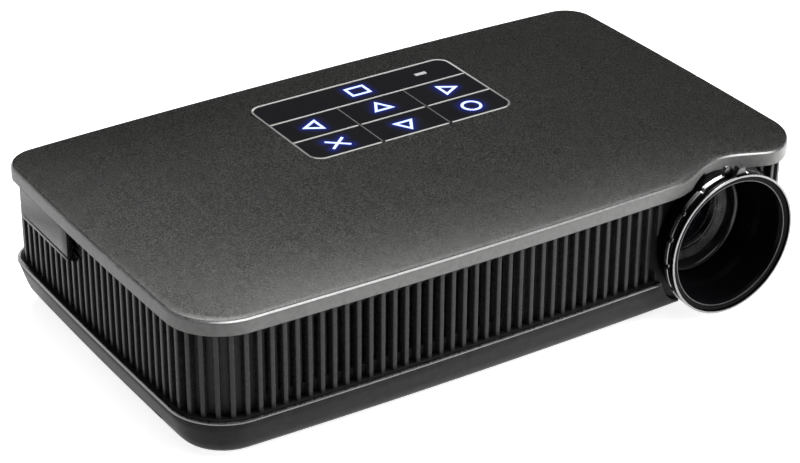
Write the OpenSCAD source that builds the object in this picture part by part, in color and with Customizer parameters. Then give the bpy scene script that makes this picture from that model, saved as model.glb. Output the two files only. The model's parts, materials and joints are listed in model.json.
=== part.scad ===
// Palm-size LED projector: painted lid with a touch panel, ribbed side band,
// tray-shaped bottom and a focus ring that stands out of the front.
// Millimetres. X runs right, Y runs back, Z runs up. The feet stand on Z = 0.
// The origin lies under the middle of the whole object, focus ring included.

/* [Case] */
// Width of the case from side to side
case_w = 120; // [118:1:130]
// Depth of the case from front to back, without the focus ring
case_d = 70.4; // [70:0.2:78]
// Radius of the upright corners at the front
corner_r = 9.5; // [8:0.5:11]
// Radius of the upright corners at the back
back_corner_r = 5.4; // [5.2:0.1:8]
// Swell of the long sides at their middle
side_bow = 1.3; // [0.6:0.1:1.8]
// Swell of the short sides at their middle
end_bow = 0.5; // [0.2:0.1:1]
// Thickness of the tray floor
floor_t = 1.4; // [1.2:0.1:1.8]
// Height of the bottom tray at its rim
tray_h = 7.3; // [7:0.1:9]
// Inset of the flat underside from the tray's rim
tray_taper = 4.9; // [4.2:0.1:5]
// Wall of the tray and of the lid's side
case_wall = 1.6; // [1.4:0.1:1.8]
// Height of the ribbed band between tray and lid
band_h = 15.3; // [15:0.1:18]
// Height of the lid's painted side
lid_h = 2.45; // [2.2:0.05:3]
// Thickness of the lid's top at its edge
lid_top_t = 1.4; // [1.2:0.1:1.6]
// Rise of the lid's crown over its edge
crown_h = 0.8; // [0.4:0.1:1.4]
// Radius of the lid's rounded edge
lid_edge_r = 0.5; // [0.3:0.05:0.8]
// Inset of the lid's side from the tray's rim
lid_in = 0.1; // [0:0.05:0.3]
// Gap between faces that meet in an assembly
fit_gap = 0.2; // [0.15:0.05:0.3]

/* [Ribbed band] */
// Distance from one rib to the next
rib_pitch = 2.2; // [2:0.1:3]
// Width of a rib
rib_w = 0.8; // [0.6:0.05:1]
// Depth of the grooves between ribs
rib_depth = 1.3; // [1:0.1:1.4]
// Inset of the rib tips from the tray's rim
rib_in = 1.1; // [1:0.1:1.3]
// Wall behind the ribs
band_wall = 1; // [0.8:0.1:1.2]
// Width of the vent slots between ribs
vent_w = 0.9; // [0.6:0.1:1.1]

/* [Lens recess] */
// Distance of the lens axis from the right side of the case
lens_side = 19.8; // [19:0.1:20.8]
// Shift of the lid's scallop to the right of the lens axis
scallop_shift = 1.6; // [1:0.1:2]
// Width of the lid's scallop
scallop_w = 24.6; // [23:0.2:26]
// Depth of the lid's scallop
scallop_depth = 3.4; // [3:0.1:3.6]
// Radius of the round recess around the focus ring
recess_r = 13.4; // [13.2:0.1:13.6]
// Depth of that recess behind the front of the case
recess_depth = 3.8; // [3.6:0.1:4]

/* [Focus ring] */
// Reach of the focus ring in front of the case
hood_reach = 2.85; // [2.6:0.05:4]
// Outer radius of the front rim
rim_r = 12.75; // [12.5:0.05:12.9]
// Wall of the front rim
rim_wall = 0.42; // [0.3:0.02:0.6]
// Length of the front rim along the lens axis
rim_len = 0.8; // [0.6:0.05:1]
// Radius of the plain band behind the rim
grip_r = 11.9; // [11.8:0.05:12]
// Length of the plain band
grip_len = 0.95; // [0.8:0.05:1.1]
// Radius of the notched flange
flange_r = 12.65; // [12.5:0.05:12.7]
// Thickness of the notched flange
flange_t = 0.8; // [0.6:0.05:0.9]
// Number of notches around the flange
notch_count = 16; // [12:1:20]
// Radius of a notch
notch_r = 0.45; // [0.3:0.05:0.5]
// Radius of the neck between flange and mount
neck_r = 11.3; // [11.1:0.05:11.5]
// Length of the neck
neck_len = 3.6; // [3:0.1:3.8]
// Outer radius of the sleeve that turns in the mount
sleeve_r = 10.6; // [10.4:0.05:10.7]
// Wall of the sleeve
sleeve_wall = 0.7; // [0.6:0.05:0.8]
// Length of the sleeve behind the flange
sleeve_len = 14.2; // [13:0.1:14.4]
// Height of the focus lever above the plain band
lever_h = 2.1; // [1.6:0.1:2.4]
// Angle of the lever from straight up
lever_angle = 5; // [0:1:10]
// Height of the stop lug above the flange
lug_h = 1.5; // [1:0.1:1.8]

/* [Lens] */
// Radial running gap of the sleeve and of the barrel
run_gap = 0.05; // [0.03:0.01:0.08]
// Focus travel of the barrel to each side
focus_travel = 1; // [0.6:0.1:1.1]
// Distance from the front rim to the barrel's front face
barrel_depth = 10; // [9.6:0.1:11]
// Radius of the barrel's front cup
cup_r = 9.6; // [9.4:0.05:9.6]
// Length of the barrel's front cup
cup_len = 5.6; // [5:0.1:5.8]
// Radius of the barrel's rear tube
tube_r = 8; // [7.6:0.1:8.2]
// Length of the barrel's rear tube
tube_len = 13; // [12:0.1:13.4]
// Radius of the front lens element
front_glass_r = 7; // [6.6:0.1:7.2]
// Radius of the rear lens element
rear_glass_r = 6; // [5.6:0.1:6.4]
// Outer radius of the mount's collar
collar_r = 12; // [11.8:0.1:12.2]
// Thickness of the mount's front plate and end wall
mount_t = 1.2; // [1:0.1:1.4]

/* [Touch panel] */
// Left edge of the panel from the middle of the case
panel_x = -16.6; // [-20:0.2:-14]
// Distance of the panel's back edge from the back of the case
panel_back = 8.8; // [7:0.2:11]
// Width of one key cell
cell_w = 13.63; // [12:0.1:14]
// Depth of one key cell
cell_d = 7.8; // [7:0.1:8.2]
// Corner radius of the panel
panel_r = 2.6; // [1.5:0.1:3.5]
// Thickness of the panel
panel_t = 1; // [0.8:0.1:1.2]
// Width of the panel's border line
trim_w = 0.45; // [0.3:0.05:0.6]
// Width of the lines between key cells
line_w = 0.22; // [0.15:0.01:0.3]
// Height of trim and symbols above the glass
print_h = 0.06; // [0.04:0.01:0.1]
// Line width of the key symbols
stroke = 0.5; // [0.35:0.05:0.6]
// Half size of the key symbols
symbol_r = 1.9; // [1.5:0.1:2.1]

/* [Port cover] */
// Length of the cover from its hinge axis to its free end
cover_len = 17.9; // [16:0.1:19]
// Distance of the cover's hinge axis from the back of the case
cover_back = 9; // [8.8:0.1:9.6]
// Height of the cover
cover_h = 5.5; // [5:0.1:5.8]
// Thickness of the cover
cover_t = 1; // [0.9:0.05:1.1]
// Radius of the finger notch beside the free end
finger_r = 2.8; // [2.4:0.1:3]
// Radius of the hinge pin
pin_r = 0.5; // [0.4:0.05:0.6]

/* [Inside] */
// Thickness of the main board
board_t = 1.2; // [1:0.1:1.6]
// Thickness of the battery pack
battery_h = 9; // [7:0.5:10]
// Depth of the battery pack
battery_d = 36; // [34:1:37]
// Radius of the blower's impeller
impeller_r = 9; // [8:0.5:9.2]
// Height of the blower's impeller
impeller_h = 6.4; // [5:0.2:6.6]
// Number of impeller blades
blade_count = 13; // [9:1:17]
// Number of heat sink fins
fin_count = 8; // [6:1:9]
// Wall of the optical engine
engine_wall = 1.2; // [1:0.1:1.4]
// Edge length of the combining prism
prism_size = 8; // [7:0.5:9]
// Radius of the collimator lenses
collimator_r = 3.6; // [3:0.1:3.7]
// Thickness of the light modules
module_t = 2.6; // [2:0.1:3]
// Width of the light modules
module_w = 7.4; // [6:0.2:7.6]
// Thickness of the heat sink's fins
fin_t = 0.6; // [0.4:0.1:0.8]
// Radius of the speaker's magnet
magnet_r = 4.2; // [3:0.1:4.4]

/* [Underside and sockets] */
// Height of the rubber feet
foot_h = 1; // [0.8:0.1:1.5]
// Radius of the rubber feet
foot_r = 2.6; // [2:0.1:2.8]
// Radius of the tripod thread
tripod_r = 3.175; // [3.175:0.001:3.175]
// Depth of the tripod thread
tripod_len = 5.5; // [5:0.1:6]
// Radius of the case screws
screw_r = 1; // [0.8:0.1:1.1]
// Radius of the audio-video jack's bore
jack_r = 1.75; // [1.75:0.01:1.75]
// Depth of the audio-video jack's bore
jack_len = 12; // [11:0.5:13]
// Width of the jacks' boxes
jack_box_w = 6.4; // [6:0.1:7]
// Height of the jacks' boxes
jack_box_h = 5; // [4.6:0.1:5.2]
// Width of the display socket
display_w = 11.2; // [10.4:0.1:12]
// Height of the display socket
display_h = 3.2; // [2.8:0.1:3.6]
// Width of the data socket
data_w = 7.6; // [7:0.1:8]
// Height of the data socket
data_h = 2.7; // [2.4:0.1:3]
// Width of the memory card's slot
card_w = 11.6; // [11.2:0.1:12]
// Height of the memory card's slot
card_h = 1.2; // [0.9:0.1:1.3]
// Width of the power switch's housing
switch_w = 10; // [9:0.5:11]
// Width of the power switch's knob
knob_w = 4; // [3:0.5:5]
// Travel of the power switch
knob_travel = 2.4; // [2:0.1:3]

/* [Hidden] */
$fn = 96;

// Levels, from the feet up
tray_z = foot_h;
floor_z = tray_z + floor_t;
rim_z = tray_z + tray_h;
lid_z = rim_z + band_h;
edge_z = lid_z + lid_h;
roof_z = edge_z - lid_top_t;
lens_z = (tray_z + edge_z) / 2;

// Sides of the case, and the places along the lens axis behind its front
half_w = case_w / 2;
half_d = case_d / 2;
front_y = -half_d;
lens_x = half_w - lens_side;
scallop_x = lens_x + scallop_shift;
ring_y = front_y - hood_reach;
grip_y = ring_y + rim_len;
flange_y = grip_y + grip_len;
sleeve_y = flange_y + flange_t;
neck_end_y = sleeve_y + neck_len;
sleeve_end_y = sleeve_y + sleeve_len;
recess_y = front_y + recess_depth;
collar_y = recess_y + mount_t;
endwall_y = sleeve_end_y + focus_travel;
guide_len = 8;
mount_end_y = endwall_y + mount_t + guide_len;
barrel_y = ring_y + barrel_depth;
cup_end_y = barrel_y + cup_len;
glass_in = 2.6;
glass_y = barrel_y + glass_in;
frame_y = hood_reach / 2;

// Steps along the case outline
front_steps = 26;
plain_steps = 8;
side_steps = 6;
corner_steps = 9;

// Levels and insets inside the case
jack_over = 1.45;
board_top_z = roof_z - jack_box_h - jack_over;
board_z = board_top_z - board_t;
panel_w = 3 * cell_w;
panel_d = 3 * cell_d;
panel_top_z = edge_z + 0.9 * crown_h;
panel_y = half_d - panel_back - panel_d;
band_in = rib_in + rib_depth;
band_inner = band_in + band_wall;
tray_inner = 0.75 * tray_taper;

// Optical engine: its width fills the room beside the lens axis, and its depth follows its optics
engine_overlap = 3;
spreader_t = 0.9;
prism_gap = 0.75;
optics_gap = 0.2;
engine_half_w = lens_side - band_inner - end_bow - module_t - spreader_t - fit_gap;
engine_x = lens_x - engine_half_w;
engine_end_x = lens_x + engine_half_w;
engine_y = mount_end_y - engine_overlap;
engine_under = 0.3;
engine_over = 1.15;
engine_z = floor_z + engine_under;
engine_h = roof_z - engine_z - engine_over;
prism_y = cup_end_y + tube_len + focus_travel + prism_gap + prism_size / 2;
red_y = prism_y + max(2 * collimator_r, module_w) + optics_gap;
engine_back_y = red_y + collimator_r + optics_gap + engine_wall;
imager_t = 2.2;
imager_in = 1;
imager_x = engine_x + imager_in - imager_t;
imager_board_x = imager_x - board_t;

// Blower, contacts and battery, from the engine to the left
air_gap = 0.8;
blower_wall = 1.2;
blower_half = impeller_r + air_gap + blower_wall;
blower_side = 2.2;
blower_back = 10.2;
blower_place = [imager_board_x - blower_side - blower_half, half_d - blower_back - blower_half];
contact_t = 1.9;
contact_side = 1.4;
spring_reach = 1.5;
contact_x1 = blower_place.x - blower_half - contact_side;
contact_x0 = contact_x1 - contact_t;
battery_in = 3.45;
battery_x0 = -half_w + tray_inner + battery_in;
battery_x1 = contact_x0 - spring_reach;
battery_w = battery_x1 - battery_x0;
door_margin = 1;
door_d = battery_d + 2 * door_margin;
tripod_right = 10;
tripod_back = 21.2;
tripod_place = [contact_x1 + tripod_right, front_y + tripod_back];

// Speaker in the strip behind the battery
tray_back_y = half_d - tray_inner - side_bow;
speaker_room = tray_back_y - battery_d / 2;
speaker_r = speaker_room / 2 - 0.4;
speaker_in = 38;
speaker_place = [-half_w + speaker_in, battery_d / 2 + speaker_room / 2];

// Main board, hung between the battery and the lid
board_left = 12;
board_right = 20;
board_front = 5.5;
board_back = 4.8;
board_x0 = -half_w + board_left;
board_x1 = contact_x1 + board_right;
board_y0 = front_y + board_front;
board_y1 = half_d - board_back;

// Sockets along the board's back edge, evenly spaced
socket_widths = [jack_box_w, switch_w, display_w, data_w, jack_box_w];
row_left = 0.8;
row_right = 9.3;
socket_row_x0 = board_x0 + row_left;
socket_row_x1 = board_x1 - row_right;
socket_gap = (socket_row_x1 - socket_row_x0 - sum(socket_widths, 4)) / 4;

function sum(list, last) = last < 0 ? 0 : list[last] + sum(list, last - 1);

function socket_x(i) =
    socket_row_x0 + sum(socket_widths, i) - socket_widths[i] / 2 + i * socket_gap;

power_jack_x = socket_x(0);
switch_x = socket_x(1);
display_x = socket_x(2);
data_x = socket_x(3);
av_jack_x = socket_x(4);

// Case screws: three corners, and one beside the lens
screw_side = 8;
screw_edge = 8.2;
screw_right_edge = 9.2;
screw_lens_side = 16.7;
screw_lens_edge = 6.2;
screw_places = [
    [-half_w + screw_side, front_y + screw_edge], [-half_w + screw_side, half_d - screw_edge],
    [half_w - screw_side, half_d - screw_right_edge],
    [lens_x - screw_lens_side, front_y + screw_lens_edge]
];

// Board screws: the corners of the main board, and one in front of the power switch
switch_depth = 4.4;
board_screw_left = 6;
board_screw_right = 4;
board_screw_edge = 1.9;
board_screw_behind = 2.1;
board_screw_places = [
    [board_x0 + board_screw_left, board_y0 + board_screw_edge],
    [switch_x, board_y1 - switch_depth - board_screw_behind],
    [board_x1 - board_screw_right, board_y0 + board_screw_edge],
    [board_x1 - board_screw_right, board_y1 - board_screw_edge]
];

// Feet: beside the battery door on the left, near the corners on the right
foot_left = 19;
foot_left_edge = 8.2;
foot_right = 8.3;
foot_right_front = 14.2;
foot_right_back = 15.2;
foot_places = [
    [-half_w + foot_left, front_y + foot_left_edge], [-half_w + foot_left, half_d - foot_left_edge],
    [half_w - foot_right, front_y + foot_right_front], [half_w - foot_right, half_d - foot_right_back]
];

module placed() {
    translate([0, frame_y, 0]) children();
}

// ---- Case outline ----

function quarter(cx, cy, r, from) =
    [for (i = [0:corner_steps]) let (t = from + 90 * i / corner_steps)
        [cx + r * cos(t), cy + r * sin(t)]];

// Outline with straight sides: front corners of radius f, back corners of radius r
function straight_outline(a, b, f, r) = concat(
    [for (i = [0:front_steps - 1]) [(a - f) * i / front_steps, -b]],
    quarter(a - f, f - b, f, -90),
    [for (i = [1:side_steps - 1]) [a, f - b + (2 * b - f - r) * i / side_steps]],
    quarter(a - r, b - r, r, 0),
    [for (i = [1:2 * plain_steps - 1]) [(a - r) * (1 - i / plain_steps), b]],
    quarter(r - a, b - r, r, 90),
    [for (i = [1:side_steps - 1]) [-a, b - r - (2 * b - f - r) * i / side_steps]],
    quarter(f - a, f - b, f, 180),
    [for (i = [1:plain_steps - 1]) [(f - a) * (1 - i / plain_steps), -b]]
);

// Swells the four sides
function swell(p, a, b) = [
    p.x * (1 - end_bow / a * pow(p.y / b, 2)),
    p.y * (1 - side_bow / b * pow(p.x / a, 2))
];

// Depth of the lens scallop at a place along the front
function scallop(x) = let (u = (x - scallop_x) / (scallop_w / 2))
    abs(u) < 1 ? scallop_depth * (1 + cos(180 * u)) / 2 : 0;

function outline(inset) =
    let (a = half_w - inset, b = half_d - inset)
    [for (p = straight_outline(a, b, corner_r - inset, back_corner_r - inset))
        let (q = swell(p, a, b)) [q.x, q.y + (q.y < 0 ? scallop(q.x) : 0)]];

// Outline without the scallop, for the tray
function plain_outline(inset) =
    let (a = half_w - inset, b = half_d - inset)
    [for (p = straight_outline(a, b, corner_r - inset, back_corner_r - inset)) swell(p, a, b)];

function level(points, z) = [for (p = points) [p.x, p.y, z]];

// Height of the crowned lid at a place
function crown_z(p) = edge_z
    + crown_h * (1 - pow(p.x / half_w, 4)) * (1 - pow(p.y / half_d, 4));

// Points of an outline drawn in towards the middle, a little below the crown
function on_crown(points, share, below) =
    [for (p = points) let (q = p * share) [q.x, q.y, crown_z(q) - below]];

// Closed solid through a stack of rings with the same number of points
module skin(rings) {
    n = len(rings[0]);
    m = len(rings);
    sides = [for (k = [0:m - 2], i = [0:n - 1]) let (j = (i + 1) % n, a = k * n, b = a + n)
        each [[a + i, b + i, b + j], [a + i, b + j, a + j]]];
    bottom = [for (i = [0:n - 1]) i];
    top = [for (i = [n - 1:-1:0]) (m - 1) * n + i];
    polyhedron(points = [for (r = rings) each r], faces = concat([bottom], sides, [top]));
}

// Outward half width of the case at a place along the short side
function side_x(y, inset) = let (b = half_d)
    half_w - inset - end_bow * pow(y / b, 2);

module lens_cylinder(r, y0, y1) {
    translate([lens_x, y1, lens_z]) rotate([90, 0, 0]) cylinder(r = r, h = y1 - y0);
}

// Turns a profile of [radius, distance along the lens axis] into a solid
module lens_turned(profile) {
    translate([lens_x, 0, lens_z]) rotate([-90, 0, 0]) rotate_extrude() polygon(profile);
}

module block(x0, x1, y0, y1, z0, z1) {
    translate([x0, y0, z0]) cube([x1 - x0, y1 - y0, z1 - z0]);
}

module upright(p, r, z0, z1) {
    translate([p.x, p.y, z0]) cylinder(r = r, h = z1 - z0);
}

module rounded_plate(w, d, r) {
    hull() for (x = [r, w - r], y = [r, d - r]) translate([x, y]) circle(r = r);
}

// ---- Case ----

crown_steps = [1, 0.94, 0.86, 0.76, 0.62, 0.42];
crown_middle = 0.16;
edge_angles = [0, 30, 60];

module lid_skin() {
    side = outline(lid_in);
    edge = outline(lid_in + lid_edge_r);
    middle = [for (p = plain_outline(lid_in)) p * crown_middle];
    skin(concat(
        [level(middle, lid_z), level(side, lid_z)],
        [for (t = edge_angles) on_crown(
            outline(lid_in + lid_edge_r * (1 - cos(t))), 1, lid_edge_r * (1 - sin(t)))],
        [for (share = crown_steps) on_crown(edge, share, 0)],
        [level(middle, edge_z + crown_h)]
    ));
}

module panel_shape(inset) {
    translate([panel_x + inset, panel_y + inset])
        rounded_plate(panel_w - 2 * inset, panel_d - 2 * inset, panel_r - inset);
}

panel_ledge = 1;
boss_r = 2.4;
skirt_inner_y = front_y + scallop_depth + lid_in + case_wall + side_bow;

module top_cover() {
    placed() color([0.27, 0.27, 0.26]) difference() {
        union() {
            difference() {
                lid_skin();
                translate([0, 0, lid_z - 1])
                    linear_extrude(roof_z - lid_z + 1) polygon(outline(lid_in + case_wall));
            }
            for (p = screw_places) upright(p, boss_r, rim_z + fit_gap, roof_z + 0.2);
            upright(hinge_place(), pin_r + 0.8, lid_z, roof_z + 0.2);
        }
        translate([0, 0, panel_top_z - panel_t]) linear_extrude(panel_t + 2) panel_shape(-0.05);
        translate([0, 0, lid_z]) linear_extrude(lid_h + 2) panel_shape(panel_ledge);
        lens_cylinder(neck_r + 0.4, front_y - 1, neck_end_y + 0.05);
        lens_cylinder(sleeve_r + 0.4, front_y - 1, collar_y);
        intersection() {
            lens_cylinder(collar_r + fit_gap, collar_y - 0.3, skirt_inner_y);
            block(lens_x - collar_r - 1, half_w, front_y, 0, 0, roof_z);
        }
        for (p = screw_places) upright(p, screw_r + 0.05, rim_z, roof_z - 2);
        upright(hinge_place(), pin_r + run_gap, lid_z - 1, lid_z + 1.5);
    }
}

// Window of the status light, in the middle of the first row's right cell
status_x = panel_x + 2.47 * cell_w;
status_y = panel_y + 2.5 * cell_d;
status_w = 2.3;
status_d = 0.85;

module status_opening(gap) {
    translate([status_x - status_w / 2 - gap, status_y - status_d / 2 - gap])
        square([status_w + 2 * gap, status_d + 2 * gap]);
}

module touch_panel() {
    placed() color([0.02, 0.02, 0.025]) translate([0, 0, panel_top_z - panel_t])
        linear_extrude(panel_t) difference() {
            panel_shape(0.05);
            status_opening(0.03);
        }
}

module status_window() {
    placed() color([0.6, 0.65, 0.7]) translate([0, 0, panel_top_z - panel_t])
        linear_extrude(panel_t + print_h) status_opening(0);
}

module panel_trim() {
    placed() color([0.5, 0.5, 0.5]) translate([0, 0, panel_top_z]) linear_extrude(print_h) {
        difference() {
            panel_shape(0.05);
            panel_shape(trim_w);
        }
        intersection() {
            panel_shape(trim_w / 2);
            union() {
                for (row = [1, 2])
                    translate([panel_x, panel_y + row * cell_d - line_w / 2])
                        square([panel_w, line_w]);
                for (column = [1, 2])
                    translate([panel_x + column * cell_w - line_w / 2, panel_y])
                        square([line_w, 2 * cell_d]);
            }
        }
    }
}

function cell(column, row) = [panel_x + (column + 0.5) * cell_w, panel_y + (row + 0.5) * cell_d];

function triangle(r, turn) = [for (i = [0:2]) [r * cos(turn + 120 * i), r * sin(turn + 120 * i)]];

// Outlined triangle that points along an angle
module arrow(turn) {
    difference() {
        polygon(triangle(1.25 * symbol_r, turn));
        polygon(triangle(1.25 * symbol_r - 2 * stroke, turn));
    }
}

module key_symbols() {
    placed() color([0.75, 0.85, 1]) translate([0, 0, panel_top_z]) linear_extrude(print_h) {
        translate(cell(1, 2)) difference() {
            square([2.1 * symbol_r, 1.75 * symbol_r], center = true);
            square([2.1 * symbol_r - 2 * stroke, 1.75 * symbol_r - 2 * stroke], center = true);
        }
        translate(cell(0, 1)) arrow(180);
        translate(cell(1, 1)) arrow(90);
        translate(cell(2, 1)) arrow(0);
        translate(cell(1, 0)) arrow(270);
        translate(cell(0, 0)) for (turn = [40, -40]) rotate(turn)
            square([2.4 * symbol_r, stroke], center = true);
        translate(cell(2, 0)) difference() {
            circle(r = symbol_r);
            circle(r = symbol_r - stroke);
        }
    }
}

module touch_board() {
    placed() color([0.1, 0.3, 0.15]) translate([0, 0, roof_z + 0.1])
        linear_extrude(panel_top_z - panel_t - roof_z - 0.15) panel_shape(panel_ledge + fit_gap);
}

// ---- Ribbed band ----

// Distance walked along an outline at each of its points
function walked(points) = let (n = len(points))
    [for (i = 0, s = 0; i <= n; s = s + norm(points[(i + 1) % n] - points[i % n]), i = i + 1) s];

tips = outline(rib_in);
tips_walked = walked(tips);
girth = tips_walked[len(tips)];
tips_x = [for (i = [0:len(tips)]) [tips_walked[i], tips[i % len(tips)].x]];
tips_y = [for (i = [0:len(tips)]) [tips_walked[i], tips[i % len(tips)].y]];

function wrapped(s) = (s + girth) % girth;

function tip(s) = [lookup(wrapped(s), tips_x), lookup(wrapped(s), tips_y)];

function inward(s) = let (d = tip(s + 0.3) - tip(s - 0.3)) [-d.y, d.x] / norm(d);

rib_count = round(girth / rib_pitch);
rib_step = girth / rib_count;
rib_start = 0.75 * rib_step;
bare_from = lens_x - recess_r + 2.7;
bare_to = lens_x + recess_r - 3.6;

function is_bare(p) = p.y < 0 && p.x > bare_from && p.x < bare_to;

function rib_points(s) = let (c = tip(s), n = inward(s), t = [n.y, -n.x] * rib_w / 2)
    is_bare(c) ? [c + n * rib_depth]
        : [c - t + n * rib_depth, c - t, c + t, c + t + n * rib_depth];

function comb() = [for (k = [0:rib_count - 1]) each rib_points(rib_start + k * rib_step)];

// Slots through the wall between ribs: along the air intake at the front, and beside the heat sink
outlet_side = 10;
outlet_front = 9.5;
outlet_back = 13.2;
vent_end = 2;

module vent_slots() {
    for (k = [0:rib_count - 1]) {
        s = rib_start + (k + 0.5) * rib_step;
        p = tip(s);
        n = inward(s);
        intake = p.y < filter_back_y && p.x > filter_x0 + 1 && p.x < filter_x1 - 1;
        outlet = p.x > half_w - outlet_side && p.y > sink_y - outlet_front && p.y < half_d - outlet_back;
        if (intake || outlet)
            translate([p.x, p.y, rim_z + vent_end]) rotate(atan2(n.y, n.x))
                translate([rib_depth - 0.2, -vent_w / 2, 0])
                    cube([band_wall + 0.6, vent_w, band_h - 2 * vent_end]);
    }
}

// Places on the left side
cover_z = lid_z - cover_h;
cover_hinge = half_d - cover_back;
cover_front = cover_hinge - cover_len;

hinge_in = 1.9;

function hinge_place() = [-side_x(cover_hinge, hinge_in), cover_hinge];

knuckle_r = 0.9;
pocket_end = cover_hinge + 2.2;
finger_z = cover_z + 2.4;

// Places on the rear side
rear_left = 3;
rear_right = 4.3;
rear_under = 0.8;
rear_depth = 15.2;
rear_x0 = board_x0 - rear_left;
rear_x1 = socket_row_x1 + rear_right;
rear_z = board_z - rear_under;
rear_cut_y = half_d - rear_depth;

module side_band() {
    placed() color([0.13, 0.13, 0.13]) difference() {
        union() {
            translate([0, 0, rim_z]) linear_extrude(band_h) difference() {
                polygon(comb());
                polygon(outline(band_inner));
            }
            intersection() {
                upright(hinge_place(), knuckle_r + 0.2, cover_z - 2, cover_z - 0.1);
                translate([0, 0, rim_z]) linear_extrude(band_h) polygon(outline(rib_in));
            }
        }
        vent_slots();
        lens_cylinder(recess_r, front_y - 1, recess_y);
        lens_cylinder(recess_r, recess_y - 0.1, front_y + scallop_depth + band_inner + 1);
        // Pocket behind the port cover, and room for its knuckle
        block(-half_w, 0.05 - side_x(cover_hinge, band_in), cover_front, pocket_end, cover_z, lid_z + 1);
        upright(hinge_place(), knuckle_r + 0.3, cover_z, lid_z + 1);
        upright(hinge_place(), pin_r + run_gap, cover_z - 3, lid_z);
        // Finger notch beside the cover's free end
        translate([-half_w, cover_front + 0.9, finger_z]) rotate([0, 90, 0])
            cylinder(r = finger_r, h = band_in + 0.4);
        // Slot for the memory card
        block(-half_w, -half_w + 6, card_y - card_w / 2, card_y + card_w / 2,
            card_z, card_z + card_h);
        // Seat of the rear panel
        block(rear_x0, rear_x1, rear_cut_y, case_d, rear_z, lid_z + 1);
    }
}

card_in = 7.5;
card_y = cover_front + card_in;
card_z = board_top_z + 0.6;

filter_left = 12;
filter_right = 19.6;
filter_depth = 15;
filter_x0 = -half_w + filter_left;
filter_x1 = lens_x - filter_right;
filter_back_y = front_y + filter_depth;

// Dark foam strip behind the air intake
module dust_filter() {
    placed() color([0.03, 0.03, 0.03]) intersection() {
        translate([0, 0, rim_z - 1]) linear_extrude(band_h - 0.5) difference() {
            polygon(outline(band_inner + 0.1));
            polygon(outline(band_inner + 1));
        }
        block(filter_x0, filter_x1, front_y, filter_back_y, 0, edge_z);
    }
}

module port_cover() {
    placed() color([0.26, 0.26, 0.26]) difference() {
        union() {
            intersection() {
                translate([0, 0, cover_z]) linear_extrude(cover_h - 0.1) difference() {
                    polygon(outline(lid_in));
                    polygon(outline(lid_in + cover_t));
                }
                block(-half_w - 1, -half_w + 4, cover_front + 0.3, cover_hinge + 0.3,
                    cover_z, lid_z);
            }
            upright(hinge_place(), knuckle_r, cover_z, lid_z - 0.1);
            block(-side_x(cover_hinge, lid_in + 0.5), -side_x(cover_hinge, hinge_in),
                cover_hinge - 1.4, cover_hinge, cover_z, lid_z - 0.1);
        }
        upright(hinge_place(), pin_r + run_gap, cover_z - 1, lid_z);
        // Groove above the cover's lower lip
        block(-half_w - 1, -side_x(0, lid_in + 0.3), cover_front - 1, cover_hinge - 0.5,
            cover_z + 0.55, cover_z + 0.85);
    }
}

module cover_pin() {
    placed() color([0.7, 0.7, 0.72]) upright(hinge_place(), pin_r, cover_z - 1.8, lid_z + 1.4);
}

// Face of the rear band at a place, drawn in by an inset
function rear_y(x, inset) = half_d - inset - side_bow * pow(x / (half_w - inset), 2);

// Face of a socket whose box stays inside the rear band
function face_y(x) = rear_y(x, band_inner) + 0.6;

jack_z = board_top_z + jack_box_h / 2;
jack_hole_r = 3.4;
knob_z = board_top_z + 1.6;
knob_h = 1.8;
slot_gap = 0.3;
knob_room = knob_w + knob_travel;

module rear_panel() {
    placed() color([0.12, 0.12, 0.12]) difference() {
        translate([0, 0, rear_z + fit_gap]) linear_extrude(lid_z - rear_z - 2 * fit_gap)
            difference() {
                intersection() {
                    polygon(outline(rib_in));
                    translate([rear_x0 + fit_gap, rear_cut_y])
                        square([rear_x1 - rear_x0 - 2 * fit_gap, case_d]);
                }
                polygon(outline(band_inner));
            }
        for (x = [power_jack_x, av_jack_x])
            translate([x, case_d, jack_z]) rotate([90, 0, 0]) cylinder(r = jack_hole_r, h = case_d);
        rear_slot(display_x, display_w, board_top_z, display_h);
        rear_slot(data_x, data_w, board_top_z, data_h);
        rear_slot(switch_x, knob_room, knob_z, knob_h);
    }
}

// Opening for a socket or knob in the rear panel
module rear_slot(x, w, z, h) {
    block(x - w / 2 - slot_gap, x + w / 2 + slot_gap, rear_cut_y, case_d, z - slot_gap, z + h + slot_gap);
}

// ---- Tray and battery ----

// Rounded underside: inset and height of each ring, up to the rim
tray_profile = [[1, 0], [0.74, 0.02], [0.5, 0.09], [0.36, 0.2], [0.25, 0.4], [0.12, 0.7], [0, 0.96]];

module tray_skin() {
    skin(concat(
        [for (step = tray_profile) level(plain_outline(step[0] * tray_taper), tray_z + step[1] * tray_h)],
        [level(plain_outline(0.2), rim_z)]
    ));
}

door_x0 = -half_w;
door_x1 = battery_x1 + 0.9;
door_lip_z = tray_z + 2.2;
door_step = 1;

module door_opening() {
    block(door_x0 - 1, door_x1, -door_d / 2, door_d / 2, tray_z - 1, floor_z + 0.1);
    block(door_x0 - 1, door_x1, -door_d / 2 - door_step, door_d / 2 + door_step,
        tray_z + 0.6, floor_z + 0.1);
    block(door_x0 - 1, door_x0 + tray_taper + 1.6, -door_d / 2, door_d / 2, tray_z, door_lip_z);
}

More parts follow.
